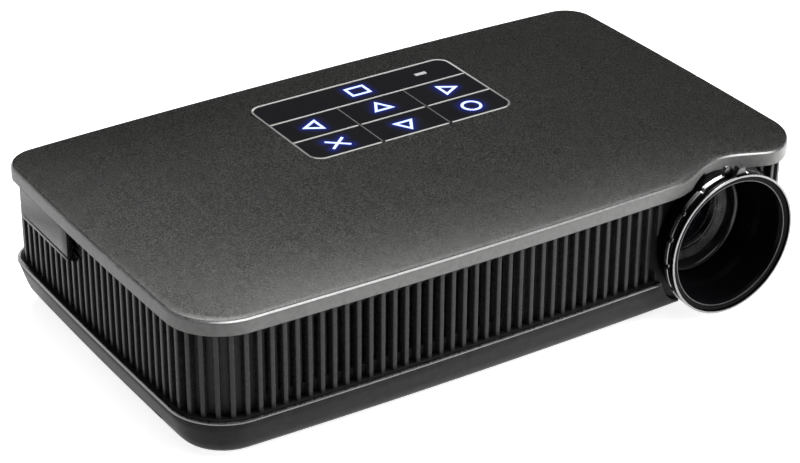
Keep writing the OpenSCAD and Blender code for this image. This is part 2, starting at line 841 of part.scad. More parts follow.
module bottom_tray() {
    placed() color([0.15, 0.15, 0.15]) difference() {
        union() {
            difference() {
                tray_skin();
                translate([0, 0, floor_z]) linear_extrude(tray_h)
                    polygon(plain_outline(tray_inner));
                translate([0, 0, rim_z - 2.4]) linear_extrude(tray_h)
                    polygon(plain_outline(case_wall + 0.6));
                door_opening();
            }
            for (p = screw_places) upright(p, boss_r, floor_z - 0.1, rim_z);
            for (p = board_screw_places) upright(p, 2, floor_z - 0.1, board_z);
            upright(tripod_place, tripod_out_r + 1.2, floor_z - 0.1, tray_z + tripod_len + 1);
        }
        lens_cylinder(recess_r, ring_y, recess_y);
        intersection() {
            lens_cylinder(recess_r, ring_y, collar_y + fit_gap);
            block(0, half_w, front_y, 0, floor_z, rim_z + 1);
        }
        for (p = screw_places) {
            upright(p, screw_r + 0.1, tray_z - 1, rim_z + 1);
            upright(p, 2 * screw_r + 0.15, tray_z - 1, tray_z + 2.2);
        }
        for (p = board_screw_places) upright(p, 0.85, board_z - 5, board_z + 1);
        upright(tripod_place, tripod_out_r, tray_z - 1, tray_z + tripod_len + 0.5);
        for (i = [-2:2]) block(speaker_place.x + 2 * i - 0.5, speaker_place.x + 2 * i + 0.5,
            speaker_place.y - 0.55 * speaker_r, speaker_place.y + 0.55 * speaker_r, tray_z - 1, floor_z + 1);
    }
}

tripod_out_r = tripod_r + 1.425;

module tripod_insert() {
    placed() color([0.75, 0.6, 0.3]) difference() {
        upright(tripod_place, tripod_out_r - 0.02, tray_z, tray_z + tripod_len + 0.5);
        upright(tripod_place, tripod_r, tray_z - 1, tray_z + tripod_len);
    }
}

module rubber_feet() {
    placed() color([0.05, 0.05, 0.05]) for (p = foot_places)
        translate([p.x, p.y, 0]) rotate_extrude()
            polygon([[0, 0], [foot_r - 0.3, 0], [foot_r, 0.3], [foot_r, foot_h], [0, foot_h]]);
}

module case_screws() {
    placed() color([0.4, 0.4, 0.42]) for (p = screw_places) difference() {
        union() {
            upright(p, screw_r, tray_z + 2.2, rim_z + 7);
            upright(p, 2 * screw_r, tray_z + 0.9, tray_z + 2.2);
        }
        translate([p.x, p.y, tray_z + 0.8]) cylinder(r = screw_r, h = 0.9, $fn = 6);
    }
}

door_gap = 0.15;

module battery_door() {
    placed() color([0.14, 0.14, 0.14]) {
        intersection() {
            tray_skin();
            union() {
                block(door_x0 - 1, door_x1 - door_gap, door_gap - door_d / 2, door_d / 2 - door_gap,
                    tray_z - 1, floor_z);
                block(door_x0 - 1, door_x0 + tray_taper + 1.2, door_gap - door_d / 2,
                    door_d / 2 - door_gap, tray_z, door_lip_z - door_gap);
            }
        }
        for (side = [-1, 1]) translate([0, side * (door_d / 2 + door_step / 2 - door_gap), 0])
            block(door_x0 + tray_taper + 2, door_x1 - door_gap, -door_step / 2, door_step / 2,
                tray_z + 0.6 + door_gap, floor_z);
    }
}

module battery_pack() {
    placed() color([0.2, 0.2, 0.22])
        translate([battery_x0, -battery_d / 2, floor_z + 0.3])
            linear_extrude(battery_h) rounded_plate(battery_w, battery_d, 2);
}

module battery_contacts() {
    placed() color([0.8, 0.65, 0.3]) {
        block(contact_x0, contact_x1, -6, 6, floor_z, floor_z + 7);
        for (y = [-4, 0, 4])
            block(battery_x1, contact_x0 + 0.1, y - 0.8, y + 0.8, floor_z + 3, floor_z + 4);
    }
}

// ---- Lens ----

sleeve_in_r = sleeve_r - sleeve_wall;
mount_low_z = floor_z + fit_gap;
mount_high_z = roof_z - fit_gap;

module lens_mount() {
    placed() color([0.06, 0.06, 0.06]) difference() {
        union() {
            intersection() {
                lens_cylinder(recess_r - fit_gap, recess_y, collar_y);
                block(0, half_w, front_y, 0, mount_low_z, lid_z - fit_gap);
            }
            intersection() {
                lens_cylinder(collar_r, collar_y - 0.1, endwall_y + mount_t);
                block(0, half_w, front_y, 0, mount_low_z, mount_high_z);
            }
            lens_cylinder(tube_r + 1.2, endwall_y, mount_end_y);
        }
        lens_cylinder(sleeve_r + run_gap, front_y, endwall_y);
        lens_cylinder(tube_r + run_gap, front_y, mount_end_y + 1);
        // Keyway that keeps the barrel from turning
        block(lens_x - key_w / 2 - 0.1, lens_x + key_w / 2 + 0.1, endwall_y - 1, mount_end_y + 1,
            lens_z - tube_r - key_h - 0.1, lens_z);
    }
}

key_w = 2;
key_h = 0.7;

module focus_ring() {
    placed() color([0.05, 0.05, 0.055]) {
        difference() {
            union() {
                lens_turned([
                    [rim_r - rim_wall, ring_y], [rim_r - 0.12, ring_y], [rim_r, ring_y + 0.12],
                    [rim_r, grip_y], [grip_r, grip_y], [grip_r, flange_y], [flange_r, flange_y],
                    [flange_r, sleeve_y], [neck_r, sleeve_y], [neck_r, neck_end_y],
                    [sleeve_r, neck_end_y], [sleeve_r, sleeve_end_y],
                    [sleeve_in_r, sleeve_end_y], [sleeve_in_r, neck_end_y + 0.4],
                    [neck_r - 0.8, neck_end_y - 0.6],
                    [grip_r - 0.9, grip_y + 0.5], [grip_r - 0.5, grip_y - 0.2],
                    [rim_r - rim_wall, grip_y - 0.35]
                ]);
                lever();
                stop_lug();
            }
            for (i = [1:notch_count - 1]) {
                turn = i * 360 / notch_count - 6;
                translate([lens_x + flange_r * sin(turn), sleeve_y + 0.1, lens_z + flange_r * cos(turn)])
                    rotate([90, 0, 0]) cylinder(r = notch_r, h = flange_t + 0.2);
            }
        }
    }
}

// Tapered thumb lever on the plain band
module lever() {
    foot = grip_r - 0.4;
    tall = grip_r + lever_h;
    translate([lens_x, 0, lens_z]) rotate([0, lever_angle, 0])
        translate([0, flange_y + 0.1, 0]) rotate([90, 0, 0]) linear_extrude(grip_len + 0.3)
            polygon([[-1.6, foot], [1.6, foot], [0.7, tall - 0.2], [0.5, tall], [-0.5, tall], [-0.7, tall - 0.2]]);
}

// Round-headed stop lug on the notched flange
module stop_lug() {
    translate([lens_x, 0, lens_z]) rotate([0, -3, 0])
        translate([0, sleeve_y, 0]) rotate([90, 0, 0]) linear_extrude(flange_t) union() {
            translate([-0.9, flange_r - 1]) square([1.8, lug_h + 0.1]);
            translate([0, flange_r + lug_h - 0.9]) circle(r = 0.9);
        }
}

module lens_barrel() {
    placed() color([0.08, 0.08, 0.085]) {
        difference() {
            lens_turned([
                [cup_r - 0.75, barrel_y], [cup_r - 0.2, barrel_y], [cup_r, barrel_y + 0.2],
                [cup_r, cup_end_y], [tube_r, cup_end_y], [tube_r, cup_end_y + tube_len],
                [rear_glass_r + 0.03, cup_end_y + tube_len],
                [rear_glass_r + 0.03, cup_end_y + tube_len - 3], [rear_glass_r - 0.7, cup_end_y + tube_len - 3],
                [front_glass_r - 0.8, glass_y + 3.6], [front_glass_r - 0.8, glass_y + 1.8],
                [front_glass_r + 0.03, glass_y + 1.8], [front_glass_r + 0.03, glass_y],
                [cup_r - 1.3, glass_y], [cup_r - 1.3, glass_y - 1]
            ]);
        }
        // Key that runs in the mount's keyway
        block(lens_x - key_w / 2, lens_x + key_w / 2, cup_end_y + 2.5, cup_end_y + tube_len - 1,
            lens_z - tube_r - key_h, lens_z - tube_r + 0.3);
    }
}

module retaining_ring() {
    placed() color([0.12, 0.12, 0.12]) lens_turned([
        [front_glass_r - 0.6, glass_y - 0.7], [front_glass_r + 0.5, glass_y - 0.9],
        [cup_r - 1.33, glass_y - 0.9], [cup_r - 1.33, glass_y - 0.02],
        [front_glass_r - 0.6, glass_y - 0.02]
    ]);
}

// Lens element with one domed face; dome bulges towards the front
module element(r, y, thick, dome) {
    bulge_r = (r * r + dome * dome) / (2 * dome);
    intersection() {
        lens_cylinder(r, y - dome, y + thick);
        translate([lens_x, y - dome + bulge_r, lens_z]) sphere(r = bulge_r);
    }
}

module front_lens() {
    placed() color([0.55, 0.65, 0.75, 0.5]) intersection() {
        element(front_glass_r, glass_y + 0.02, 1.75, 1.1);
        union() {
            lens_cylinder(front_glass_r - 0.7, glass_y - 2, glass_y + 2);
            lens_cylinder(front_glass_r, glass_y + 0.02, glass_y + 2);
        }
    }
}

module rear_lens() {
    placed() color([0.55, 0.65, 0.75, 0.5])
        element(rear_glass_r, cup_end_y + tube_len - 2.2, 2.2, 0.7);
}

// ---- Optical engine ----

collimator_t = 2;
collimator_in = engine_wall + 1.2 + collimator_t / 2;
green_x = lens_x - 2.6;
window_half = 3;
prism_seat_half = 3;
mirror_w = 5.6;
mirror_t = 0.8;
mirror_h = 14;
mirror_reach = (mirror_w + mirror_t) / 2 * cos(45);

module engine_housing() {
    placed() color([0.62, 0.63, 0.65]) difference() {
        union() {
            difference() {
                block(engine_x, engine_end_x, engine_y, engine_back_y, engine_z, engine_z + engine_h);
                block(engine_x + engine_wall, engine_end_x - engine_wall,
                    engine_y + engine_wall, engine_back_y - engine_wall,
                    engine_z + engine_wall, engine_z + engine_h - engine_wall);
            }
            // Seats of the prism, the mirrors and the collimators
            block(lens_x - prism_seat_half, lens_x + prism_seat_half,
                prism_y - prism_seat_half, prism_y + prism_seat_half,
                engine_z + 0.5, lens_z - prism_size / 2 - 0.1);
            for (place = collimators)
                translate([place.x, place.y, engine_z + 0.5])
                    cylinder(r = 0.9, h = lens_z - collimator_r - engine_z - 0.6);
        }
        lens_cylinder(tube_r + mount_t + 0.05, engine_y - 1, engine_y + engine_overlap + 0.2);
        // Windows for the imager and the three light modules
        window(engine_x, prism_y, imager_half_d + 0.5);
        for (y = [red_y, prism_y]) window(engine_end_x, y, window_half);
        window_back(green_x);
    }
}

// Window through a side wall or through the back wall of the engine
module window(x, y, half) {
    block(x - engine_wall - 1, x + engine_wall + 1, y - half, y + half,
        lens_z - window_half, lens_z + window_half);
}

module window_back(x) {
    block(x - window_half, x + window_half, engine_back_y - engine_wall - 1, engine_back_y + 1,
        lens_z - window_half, lens_z + window_half);
}

// Place and turn of each collimator
collimators = [
    [engine_end_x - collimator_in, prism_y, -90],
    [engine_end_x - collimator_in, red_y, -90],
    [green_x, engine_back_y - collimator_in, 0]
];

module collimator_lenses() {
    placed() color([0.6, 0.7, 0.8, 0.5]) for (place = collimators)
        translate([place.x, place.y, lens_z]) rotate([0, 0, place.z]) rotate([90, 0, 0])
            cylinder(r = collimator_r, h = collimator_t, center = true);
}

module combining_prism() {
    placed() color([0.6, 0.75, 0.8, 0.5])
        block(lens_x - prism_size / 2, lens_x + prism_size / 2, prism_y - prism_size / 2,
            prism_y + prism_size / 2, lens_z - prism_size / 2, lens_z + prism_size / 2);
}

// Two coloured plates at 45 degrees, standing on the engine's floor
module mirror_plates() {
    placed() color([0.6, 0.5, 0.75, 0.6])
        for (p = [[lens_x + 4.2, red_y + 0.4], [engine_x + engine_wall + mirror_reach + 0.3, red_y - 3.2]])
            translate([p.x, p.y, engine_z + engine_wall]) rotate(45)
                translate([-mirror_w / 2, -mirror_t / 2, 0]) cube([mirror_w, mirror_t, mirror_h]);
}

imager_half_d = 4;
imager_half_h = 2.6;
imager_board_half_d = 8;

module imager_chip() {
    placed() color([0.35, 0.4, 0.45])
        block(imager_x, imager_x + imager_t, prism_y - imager_half_d, prism_y + imager_half_d,
            lens_z - imager_half_h, lens_z + imager_half_h);
}

module imager_board() {
    placed() color([0.1, 0.3, 0.15])
        block(imager_board_x, imager_x, prism_y - imager_board_half_d, prism_y + imager_board_half_d,
            floor_z + fit_gap, roof_z - 1.4);
}

// Ceramic plate with a light-emitting dome that faces the engine's inside
module light_module(turn) {
    rotate([0, 0, turn]) rotate([90, 0, 0]) {
        translate([-module_w / 2, -module_w / 2, -module_t]) cube([module_w, module_w, module_t]);
        cylinder(r = module_w / 4, h = 0.9);
    }
}

module red_light_module() {
    placed() color([0.85, 0.3, 0.25])
        translate([engine_end_x, red_y, lens_z]) light_module(-90);
}

module blue_light_module() {
    placed() color([0.3, 0.4, 0.9])
        translate([engine_end_x, prism_y, lens_z]) light_module(-90);
}

module green_light_module() {
    placed() color([0.3, 0.75, 0.4])
        translate([green_x, engine_back_y, lens_z]) light_module(0);
}

// ---- Cooling ----

sink_y = engine_back_y + module_t;
sink_side = 10.8;
sink_back = 3.2;
sink_over = 2.05;
sink_base_t = 1.4;
sink_x0 = engine_x - 1;
sink_x1 = half_w - sink_side;
sink_end_y = half_d - band_inner - sink_back;
sink_h = roof_z - floor_z - sink_over;
spreader_x = engine_end_x + module_t;
spreader_half_h = 5;

module heat_sink() {
    placed() color([0.7, 0.7, 0.72]) {
        translate([0, 0, floor_z + fit_gap]) {
            block(sink_x0, sink_x1, sink_y, sink_y + sink_base_t, 0, sink_h);
            for (i = [0:fin_count - 1])
                translate([0, 0, i * (sink_h - fin_t) / (fin_count - 1)])
                    block(sink_x0, sink_x1, sink_y + sink_base_t - 0.1, sink_end_y, 0, fin_t);
        }
    }
}

module heat_spreader() {
    placed() color([0.8, 0.5, 0.3]) {
        block(spreader_x, spreader_x + spreader_t, prism_y - module_w / 2, sink_y + sink_base_t,
            lens_z - spreader_half_h, lens_z + spreader_half_h);
        block(sink_x1, spreader_x + spreader_t, sink_y, sink_y + sink_base_t,
            lens_z - spreader_half_h, lens_z + spreader_half_h);
    }
}

shaft_r = 0.8;
impeller_z = floor_z + 2;

module blower_housing() {
    placed() color([0.1, 0.1, 0.1]) difference() {
        block(blower_place.x - blower_half, blower_place.x + blower_half,
            blower_place.y - blower_half, blower_place.y + blower_half,
            floor_z + 0.1, impeller_z + impeller_h + 1.5);
        upright(blower_place, impeller_r + air_gap, floor_z + 1.2, impeller_z + impeller_h + 0.5);
        upright(blower_place, impeller_r - 2, impeller_z, impeller_z + impeller_h + 2);
        // Outlet towards the heat sink
        block(blower_place.x, blower_place.x + blower_half + 1, blower_place.y,
            blower_place.y + blower_half - blower_wall, floor_z + 1.2, impeller_z + impeller_h + 0.5);
        upright(blower_place, shaft_r, floor_z + 0.6, impeller_z);
    }
}

module blower_shaft() {
    placed() color([0.75, 0.75, 0.78])
        upright(blower_place, shaft_r - 0.01, floor_z + 0.6, impeller_z + impeller_h - 0.4);
}

module blower_impeller() {
    placed() color([0.16, 0.16, 0.17]) translate([blower_place.x, blower_place.y, impeller_z])
        difference() {
            union() {
                cylinder(r = 3.4, h = impeller_h);
                cylinder(r = impeller_r, h = 0.8);
                for (i = [0:blade_count - 1]) rotate(i * 360 / blade_count)
                    translate([3, 0, 0]) rotate(-25) translate([0, -0.25, 0])
                        cube([impeller_r - 3.6, 0.5, impeller_h]);
            }
            translate([0, 0, -1]) cylinder(r = shaft_r + run_gap, h = impeller_h + 0.7);
        }
}

// ---- Boards and sockets ----

module main_board() {
    placed() color([0.1, 0.3, 0.15]) difference() {
        union() {
            block(board_x0, board_x1, board_y0, board_y1, board_z, board_top_z);
            block(cable_x - 3, cable_x, prism_y - cable_half_w - 1, prism_y + cable_half_w + 1,
                board_top_z, board_top_z + 1.4);
        }
        for (p = board_screw_places) upright(p, 1, board_z - 1, board_top_z + 1);
    }
}

cable_x = board_x1 - 2;
cable_t = 0.3;
cable_half_w = 5;

module flat_cable() {
    placed() color([0.85, 0.8, 0.7]) {
        block(cable_x, imager_board_x, prism_y - cable_half_w, prism_y + cable_half_w,
            board_top_z + 0.5, board_top_z + 0.5 + cable_t);
        block(imager_board_x - cable_t, imager_board_x, prism_y - cable_half_w, prism_y + cable_half_w,
            board_top_z - 4, board_top_z + 0.5 + cable_t);
    }
}

module board_screws() {
    placed() color([0.6, 0.6, 0.62]) for (p = board_screw_places) {
        upright(p, 0.8, board_z - 4, board_top_z);
        upright(p, 1.7, board_top_z, board_top_z + 1);
    }
}

chip_in = 26;
chip_back = 17.7;
chip_half = 6;
chip_place = [board_x0 + chip_in, board_y0 + chip_back];

module main_chip() {
    placed() color([0.08, 0.08, 0.08])
        block(chip_place.x - chip_half, chip_place.x + chip_half,
            chip_place.y - chip_half, chip_place.y + chip_half, board_top_z, board_top_z + 1.4);
}

shield_half_w = 12;
shield_half_d = 11;
shield_h = 2.2;
shield_wall = 0.3;

// Shield of the main board, drawn in by an inset
module shield_block(inset) {
    block(chip_place.x - shield_half_w + inset, chip_place.x + shield_half_w - inset,
        chip_place.y - shield_half_d + inset, chip_place.y + shield_half_d - inset,
        board_top_z - inset, board_top_z + shield_h - inset);
}

module shield_can() {
    placed() color([0.75, 0.75, 0.75]) difference() {
        shield_block(0);
        shield_block(shield_wall);
    }
}

module card_socket() {
    placed() color([0.7, 0.7, 0.7]) difference() {
        block(0.3 - side_x(card_y, band_inner), board_x0 + 14, card_y - card_w / 2 - 0.4,
            card_y + card_w / 2 + 0.4, board_top_z, board_top_z + 2.2);
        block(-half_w, board_x0 + 8, card_y - card_w / 2, card_y + card_w / 2,
            card_z, card_z + card_h);
    }
}

// Rectangular socket shell that opens towards the back
module socket_shell(x, w, h, depth, wall) {
    difference() {
        block(x - w / 2, x + w / 2, face_y(x) - depth, face_y(x), board_top_z, board_top_z + h);
        block(x - w / 2 + wall, x + w / 2 - wall, face_y(x) - depth + 1, face_y(x) + 1,
            board_top_z + wall, board_top_z + h - wall);
    }
    block(x - w / 2 + 3 * wall, x + w / 2 - 3 * wall, face_y(x) - depth + 0.5,
        face_y(x) - 1, board_top_z + h / 2 - 0.3, board_top_z + h / 2 + 0.3);
}

module display_socket() {
    placed() color([0.7, 0.7, 0.72]) socket_shell(display_x, display_w, display_h, 7.5, 0.4);
}

module data_socket() {
    placed() color([0.7, 0.7, 0.72]) socket_shell(data_x, data_w, data_h, 5.6, 0.35);
}

// Round jack in a box, with its mouth towards the back
module jack(x, depth) {
    difference() {
        union() {
            block(x - jack_box_w / 2, x + jack_box_w / 2, face_y(x) - depth - 1, face_y(x) - 1,
                board_top_z, board_top_z + jack_box_h);
            translate([x, face_y(x), jack_z]) rotate([90, 0, 0]) cylinder(r = 2.5, h = 2);
        }
        translate([x, face_y(x) + 1, jack_z]) rotate([90, 0, 0])
            cylinder(r = jack_r, h = depth + 1);
    }
}

power_jack_len = 8;
power_pin_r = 0.6;

module power_jack() {
    placed() color([0.08, 0.08, 0.08]) {
        jack(power_jack_x, power_jack_len);
        translate([power_jack_x, face_y(power_jack_x) - 0.6, jack_z]) rotate([90, 0, 0])
            cylinder(r = power_pin_r, h = power_jack_len);
    }
}

module av_jack() {
    placed() color([0.08, 0.08, 0.08]) jack(av_jack_x, jack_len);
}

switch_in_y = rear_y(switch_x, band_inner) + 0.3;
knob_end_y = rear_y(switch_x, 0.6);
knob_x = switch_x - knob_travel / 2;

module switch_housing() {
    placed() color([0.6, 0.6, 0.62]) difference() {
        block(switch_x - switch_w / 2, switch_x + switch_w / 2, board_y1 - switch_depth, board_y1,
            board_top_z, board_top_z + 4.4);
        block(switch_x - knob_room / 2 + 0.1, switch_x + knob_room / 2 - 0.1,
            board_y1 - 2.4, board_y1 + 1, knob_z - 0.1, knob_z + knob_h + 0.1);
    }
}

module power_switch() {
    placed() color([0.1, 0.1, 0.1]) {
        block(knob_x - knob_w / 2, knob_x + knob_w / 2, switch_in_y, knob_end_y, knob_z, knob_z + knob_h);
        block(knob_x - knob_w / 2 + 0.8, knob_x + knob_w / 2 - 0.8, board_y1 - 2, switch_in_y + 0.1,
            knob_z, knob_z + knob_h);
    }
}

module speaker() {
    placed() color([0.12, 0.12, 0.12]) translate([speaker_place.x, speaker_place.y, floor_z + 0.05])
        rotate_extrude() polygon([
            [0, 2.2], [1.6, 1.2], [speaker_r - 1.4, 0.4], [speaker_r, 0], [speaker_r, 1],
            [magnet_r, 1.4], [magnet_r, 3.6], [0, 3.6]
        ]);
}

top_cover();
touch_panel();
panel_trim();
key_symbols();
status_window();
touch_board();
side_band();
dust_filter();
rear_panel();
port_cover();
cover_pin();
bottom_tray();
rubber_feet();
battery_door();
battery_pack();
battery_contacts();
tripod_insert();
case_screws();
lens_mount();
focus_ring();
lens_barrel();
retaining_ring();
front_lens();
rear_lens();
engine_housing();
combining_prism();
mirror_plates();
collimator_lenses();
imager_chip();
imager_board();
red_light_module();
green_light_module();
blue_light_module();
heat_sink();
heat_spreader();
blower_housing();
blower_shaft();
blower_impeller();
main_board();
board_screws();
main_chip();
shield_can();
flat_cable();
card_socket();
display_socket();
data_socket();
power_jack();
av_jack();
switch_housing();
power_switch();
speaker();
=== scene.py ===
import json
import math

import bmesh
import bpy
from mathutils import Matrix, Vector

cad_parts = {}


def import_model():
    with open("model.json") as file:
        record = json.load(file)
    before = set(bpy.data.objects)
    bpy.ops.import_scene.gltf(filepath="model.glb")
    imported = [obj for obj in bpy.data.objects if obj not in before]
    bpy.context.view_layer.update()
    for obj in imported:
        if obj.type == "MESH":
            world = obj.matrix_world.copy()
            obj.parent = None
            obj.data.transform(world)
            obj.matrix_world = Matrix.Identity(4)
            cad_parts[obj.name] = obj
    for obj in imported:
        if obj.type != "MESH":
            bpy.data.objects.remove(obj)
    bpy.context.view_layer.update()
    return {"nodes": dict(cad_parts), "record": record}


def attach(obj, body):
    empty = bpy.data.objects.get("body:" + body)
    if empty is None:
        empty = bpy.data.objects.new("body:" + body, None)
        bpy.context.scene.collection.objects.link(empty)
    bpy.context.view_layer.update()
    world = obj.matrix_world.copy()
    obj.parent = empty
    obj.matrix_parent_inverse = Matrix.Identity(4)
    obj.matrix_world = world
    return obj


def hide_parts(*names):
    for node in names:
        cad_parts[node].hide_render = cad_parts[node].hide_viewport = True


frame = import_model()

# Sizes in millimetres, as in the part's source. The frame is in metres.
MM = 0.001
CASE_W = 120
CASE_D = 70.4
CORNER_R = 9.5
BACK_CORNER_R = 5.4
SIDE_BOW = 1.3
END_BOW = 0.5
FRAME_Y = 1.425
RIM_Z = 8.3
LID_Z = 23.6
EDGE_Z = 26.05
ROOF_Z = 24.65
CROWN_H = 0.8
LID_IN = 0.1
LID_EDGE_R = 0.5
CASE_WALL = 1.6
RIB_IN = 1.1
LENS_X = 40.2
LENS_Z = 13.525
FRONT_Y = -35.2
SCALLOP_X = 41.8
SCALLOP_W = 24.6
SCALLOP_DEPTH = 3.4
RING_Y = FRONT_Y - 2.85
GRIP_Y = RING_Y + 0.8
FLANGE_Y = GRIP_Y + 0.95
SLEEVE_Y = FLANGE_Y + 0.8
NECK_END_Y = SLEEVE_Y + 3.6
SLEEVE_END_Y = SLEEVE_Y + 14.2
RIM_R = 12.75
GRIP_R = 11.9
FLANGE_R = 12.65
NECK_R = 11.3
SLEEVE_R = 10.6
NOTCHES = 16
NOTCH_R = 0.45
PANEL_X = -16.6
PANEL_Y = 3
CELL_W = 13.63
CELL_D = 7.8
PANEL_W = 3 * CELL_W
PANEL_D = 3 * CELL_D
PANEL_R = 2.6
PANEL_T = 1
PANEL_TOP_Z = EDGE_Z + 0.9 * CROWN_H
SYMBOL_R = 1.9
SCREW_PLACES = [(-52, -27), (-52, 27), (52, 26), (23.5, -29)]

# Past the case on any side
OUTSIDE = 99

# Steps along the outline's long sides, short sides and corners, and round the lens, bosses and notch
LONG_STEPS = 72
SHORT_STEPS = 36
CORNER_STEPS = 18
LENS_STEPS = 256
BOSS_STEPS = 48
NOTCH_STEPS = 64


# ---- Case outline, as in the part's source but with finer steps ----

def quarter(cx, cy, r, start, steps):
    """Points on a quarter circle, from the start angle in degrees onwards."""
    turns = [math.radians(start + 90 * i / steps) for i in range(steps + 1)]
    return [(cx + r * math.cos(t), cy + r * math.sin(t)) for t in turns]


def straight_outline(a, b, f, r):
    """Front corners of radius f, back corners of radius r."""
    front = [(a - f) * (2 * i / LONG_STEPS - 1) for i in range(1, LONG_STEPS)]
    back = [(r - a) * (2 * i / LONG_STEPS - 1) for i in range(1, LONG_STEPS)]
    along = [f - b + (2 * b - f - r) * i / SHORT_STEPS for i in range(1, SHORT_STEPS)]
    return (
        [(x, -b) for x in front]
        + quarter(a - f, f - b, f, -90, CORNER_STEPS)
        + [(a, y) for y in along]
        + quarter(a - r, b - r, r, 0, CORNER_STEPS)
        + [(x, b) for x in back]
        + quarter(r - a, b - r, r, 90, CORNER_STEPS)
        + [(-a, y) for y in reversed(along)]
        + quarter(f - a, f - b, f, 180, CORNER_STEPS)
    )


def scallop(x):
    u = (x - SCALLOP_X) / (SCALLOP_W / 2)
    return SCALLOP_DEPTH * (1 + math.cos(math.pi * u)) / 2 if abs(u) < 1 else 0


def outline(inset, with_scallop=True):
    """Bowed outline of the case, drawn in by the inset, with the dent over the focus ring."""
    a, b = CASE_W / 2 - inset, CASE_D / 2 - inset
    points = []
    for x, y in straight_outline(a, b, CORNER_R - inset, BACK_CORNER_R - inset):
        px = x * (1 - END_BOW / a * (y / b) ** 2)
        py = y * (1 - SIDE_BOW / b * (x / a) ** 2)
        points.append((px, py + (scallop(px) if with_scallop and py < 0 else 0)))
    return points


def crown_z(x, y):
    return EDGE_Z + CROWN_H * (1 - (2 * x / CASE_W) ** 4) * (1 - (2 * y / CASE_D) ** 4)


def level(points, z):
    return [(x, y, z) for x, y in points]


# ---- Meshes ----

def placed(name, data):
    """Object of this name in the scene, for a mesh, a lamp or the camera."""
    thing = bpy.data.objects.new(name, data)
    bpy.context.scene.collection.objects.link(thing)
    return thing


def piece(name, mesh, body, finish, replaced=()):
    """Puts a finished mesh in the scene, on a CAD body, in the finish of that name."""
    thing = placed(name, mesh)
    mesh.materials.clear()
    mesh.materials.append(FINISHES[finish])
    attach(thing, body)
    if replaced:
        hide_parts(*replaced)
    return thing


def mesh_from(name, points, faces):
    """Mesh from points in millimetres, measured from the middle of the case."""
    mesh = bpy.data.meshes.new(name)
    mesh.from_pydata([(x * MM, (y + FRAME_Y) * MM, z * MM) for x, y, z in points], [], faces)
    mesh.validate()
    return mesh


def outward(mesh):
    """Merges doubles and turns every face outwards."""
    work = bmesh.new()
    work.from_mesh(mesh)
    bmesh.ops.remove_doubles(work, verts=work.verts, dist=1e-7)
    bmesh.ops.recalc_face_normals(work, faces=work.faces)
    work.to_mesh(mesh)
    work.free()
    return mesh


def rings_mesh(name, rings, closed=False):
    """Skin through rings of equally many points, capped or closed into a loop."""
    n, m = len(rings[0]), len(rings)
    faces = []
    for k in range(m if closed else m - 1):
        low, high = k * n, (k + 1) % m * n
        faces += [(low + i, low + (i + 1) % n, high + (i + 1) % n, high + i) for i in range(n)]
    if not closed:
        faces.append(tuple(range(n))[::-1])
        faces.append(tuple((m - 1) * n + i for i in range(n)))
    return outward(mesh_from(name, [p for ring in rings for p in ring], faces))


def smooth(mesh, angle=32):
    mesh.shade_smooth()
    mesh.set_sharp_from_angle(angle=math.radians(angle))
    return mesh


def evaluated(thing):
    """Plain mesh of an object with its modifiers applied; the object goes."""
    bpy.context.view_layer.update()
    graph = bpy.context.evaluated_depsgraph_get()
    mesh = bpy.data.meshes.new_from_object(thing.evaluated_get(graph))
    name = thing.data.name
    bpy.data.objects.remove(thing)
    mesh.name = name
    return mesh


def carved(mesh, *cutters):
    """Mesh with the cutters' solids taken out."""
    thing = placed(mesh.name, mesh)
    tools = [placed(cutter.name, cutter) for cutter in cutters]
    for tool in tools:
        cut = thing.modifiers.new("cut", "BOOLEAN")
        cut.operation = "DIFFERENCE"
        cut.solver = "EXACT"
        cut.object = tool
    result = evaluated(thing)
    for tool in tools:
        bpy.data.objects.remove(tool)
    return result


def bevelled(mesh, width, angle=40):
    """Mesh with its sharper edges eased by this width."""
    thing = placed(mesh.name, mesh)
    edge = thing.modifiers.new("edge", "BEVEL")
    edge.width = width * MM
    edge.segments = 2
    edge.limit_method = "ANGLE"
    edge.angle_limit = math.radians(angle)
    return evaluated(thing)


def full_turn(steps):
    return [math.tau * i / steps for i in range(steps)]


def lens_point(r, y, t):
    """Point at this radius and depth, turned about the lens axis from its top towards the right."""
    return LENS_X + r * math.sin(t), y, LENS_Z + r * math.cos(t)


def turned(name, profile):
    """Solid turned about the lens axis, from a closed profile of (radius, y)."""
    rings = [[lens_point(r, y, t) for r, y in profile] for t in full_turn(LENS_STEPS)]
    return rings_mesh(name, rings, closed=True)


def eased(profile, size, steps=3):
    """Profile with every corner rounded by up to the given size."""
    result = []
    n = len(profile)
    for i, corner in enumerate(profile):
        c = Vector(corner)
        before, after = Vector(profile[i - 1]) - c, Vector(profile[(i + 1) % n]) - c
        reach = min(size, before.length * 0.45, after.length * 0.45)
        start, end = c + before.normalized() * reach, c + after.normalized() * reach
        for k in range(steps + 1):
            t = k / steps
            p = start * (1 - t) ** 2 + c * 2 * t * (1 - t) + end * t ** 2
            result.append((p.x, p.y))
    return result


def lens_cylinder(name, r, y0, y1, top=OUTSIDE):
    """Cylinder along the lens axis, cut flat where it reaches over the top height."""
    ends = [[lens_point(r, y, t) for t in full_turn(LENS_STEPS)] for y in (y0, y1)]
    return rings_mesh(name, [[(x, y, min(z, top)) for x, y, z in end] for end in ends])


def block(name, x0, x1, y0, y1, z0, z1):
    corners = [(x0, y0), (x1, y0), (x1, y1), (x0, y1)]
    return rings_mesh(name, [level(corners, z0), level(corners, z1)])


def side_cylinder(name, x0, x1, y, z, r):
    ring = [(y + r * math.cos(t), z + r * math.sin(t)) for t in full_turn(NOTCH_STEPS)]
    return rings_mesh(name, [[(x, *point) for point in ring] for x in (x0, x1)])


def upright(name, x, y, r, z0, z1):
    ring = [(x + r * math.cos(t), y + r * math.sin(t)) for t in full_turn(BOSS_STEPS)]
    return rings_mesh(name, [level(ring, z0), level(ring, z1)])


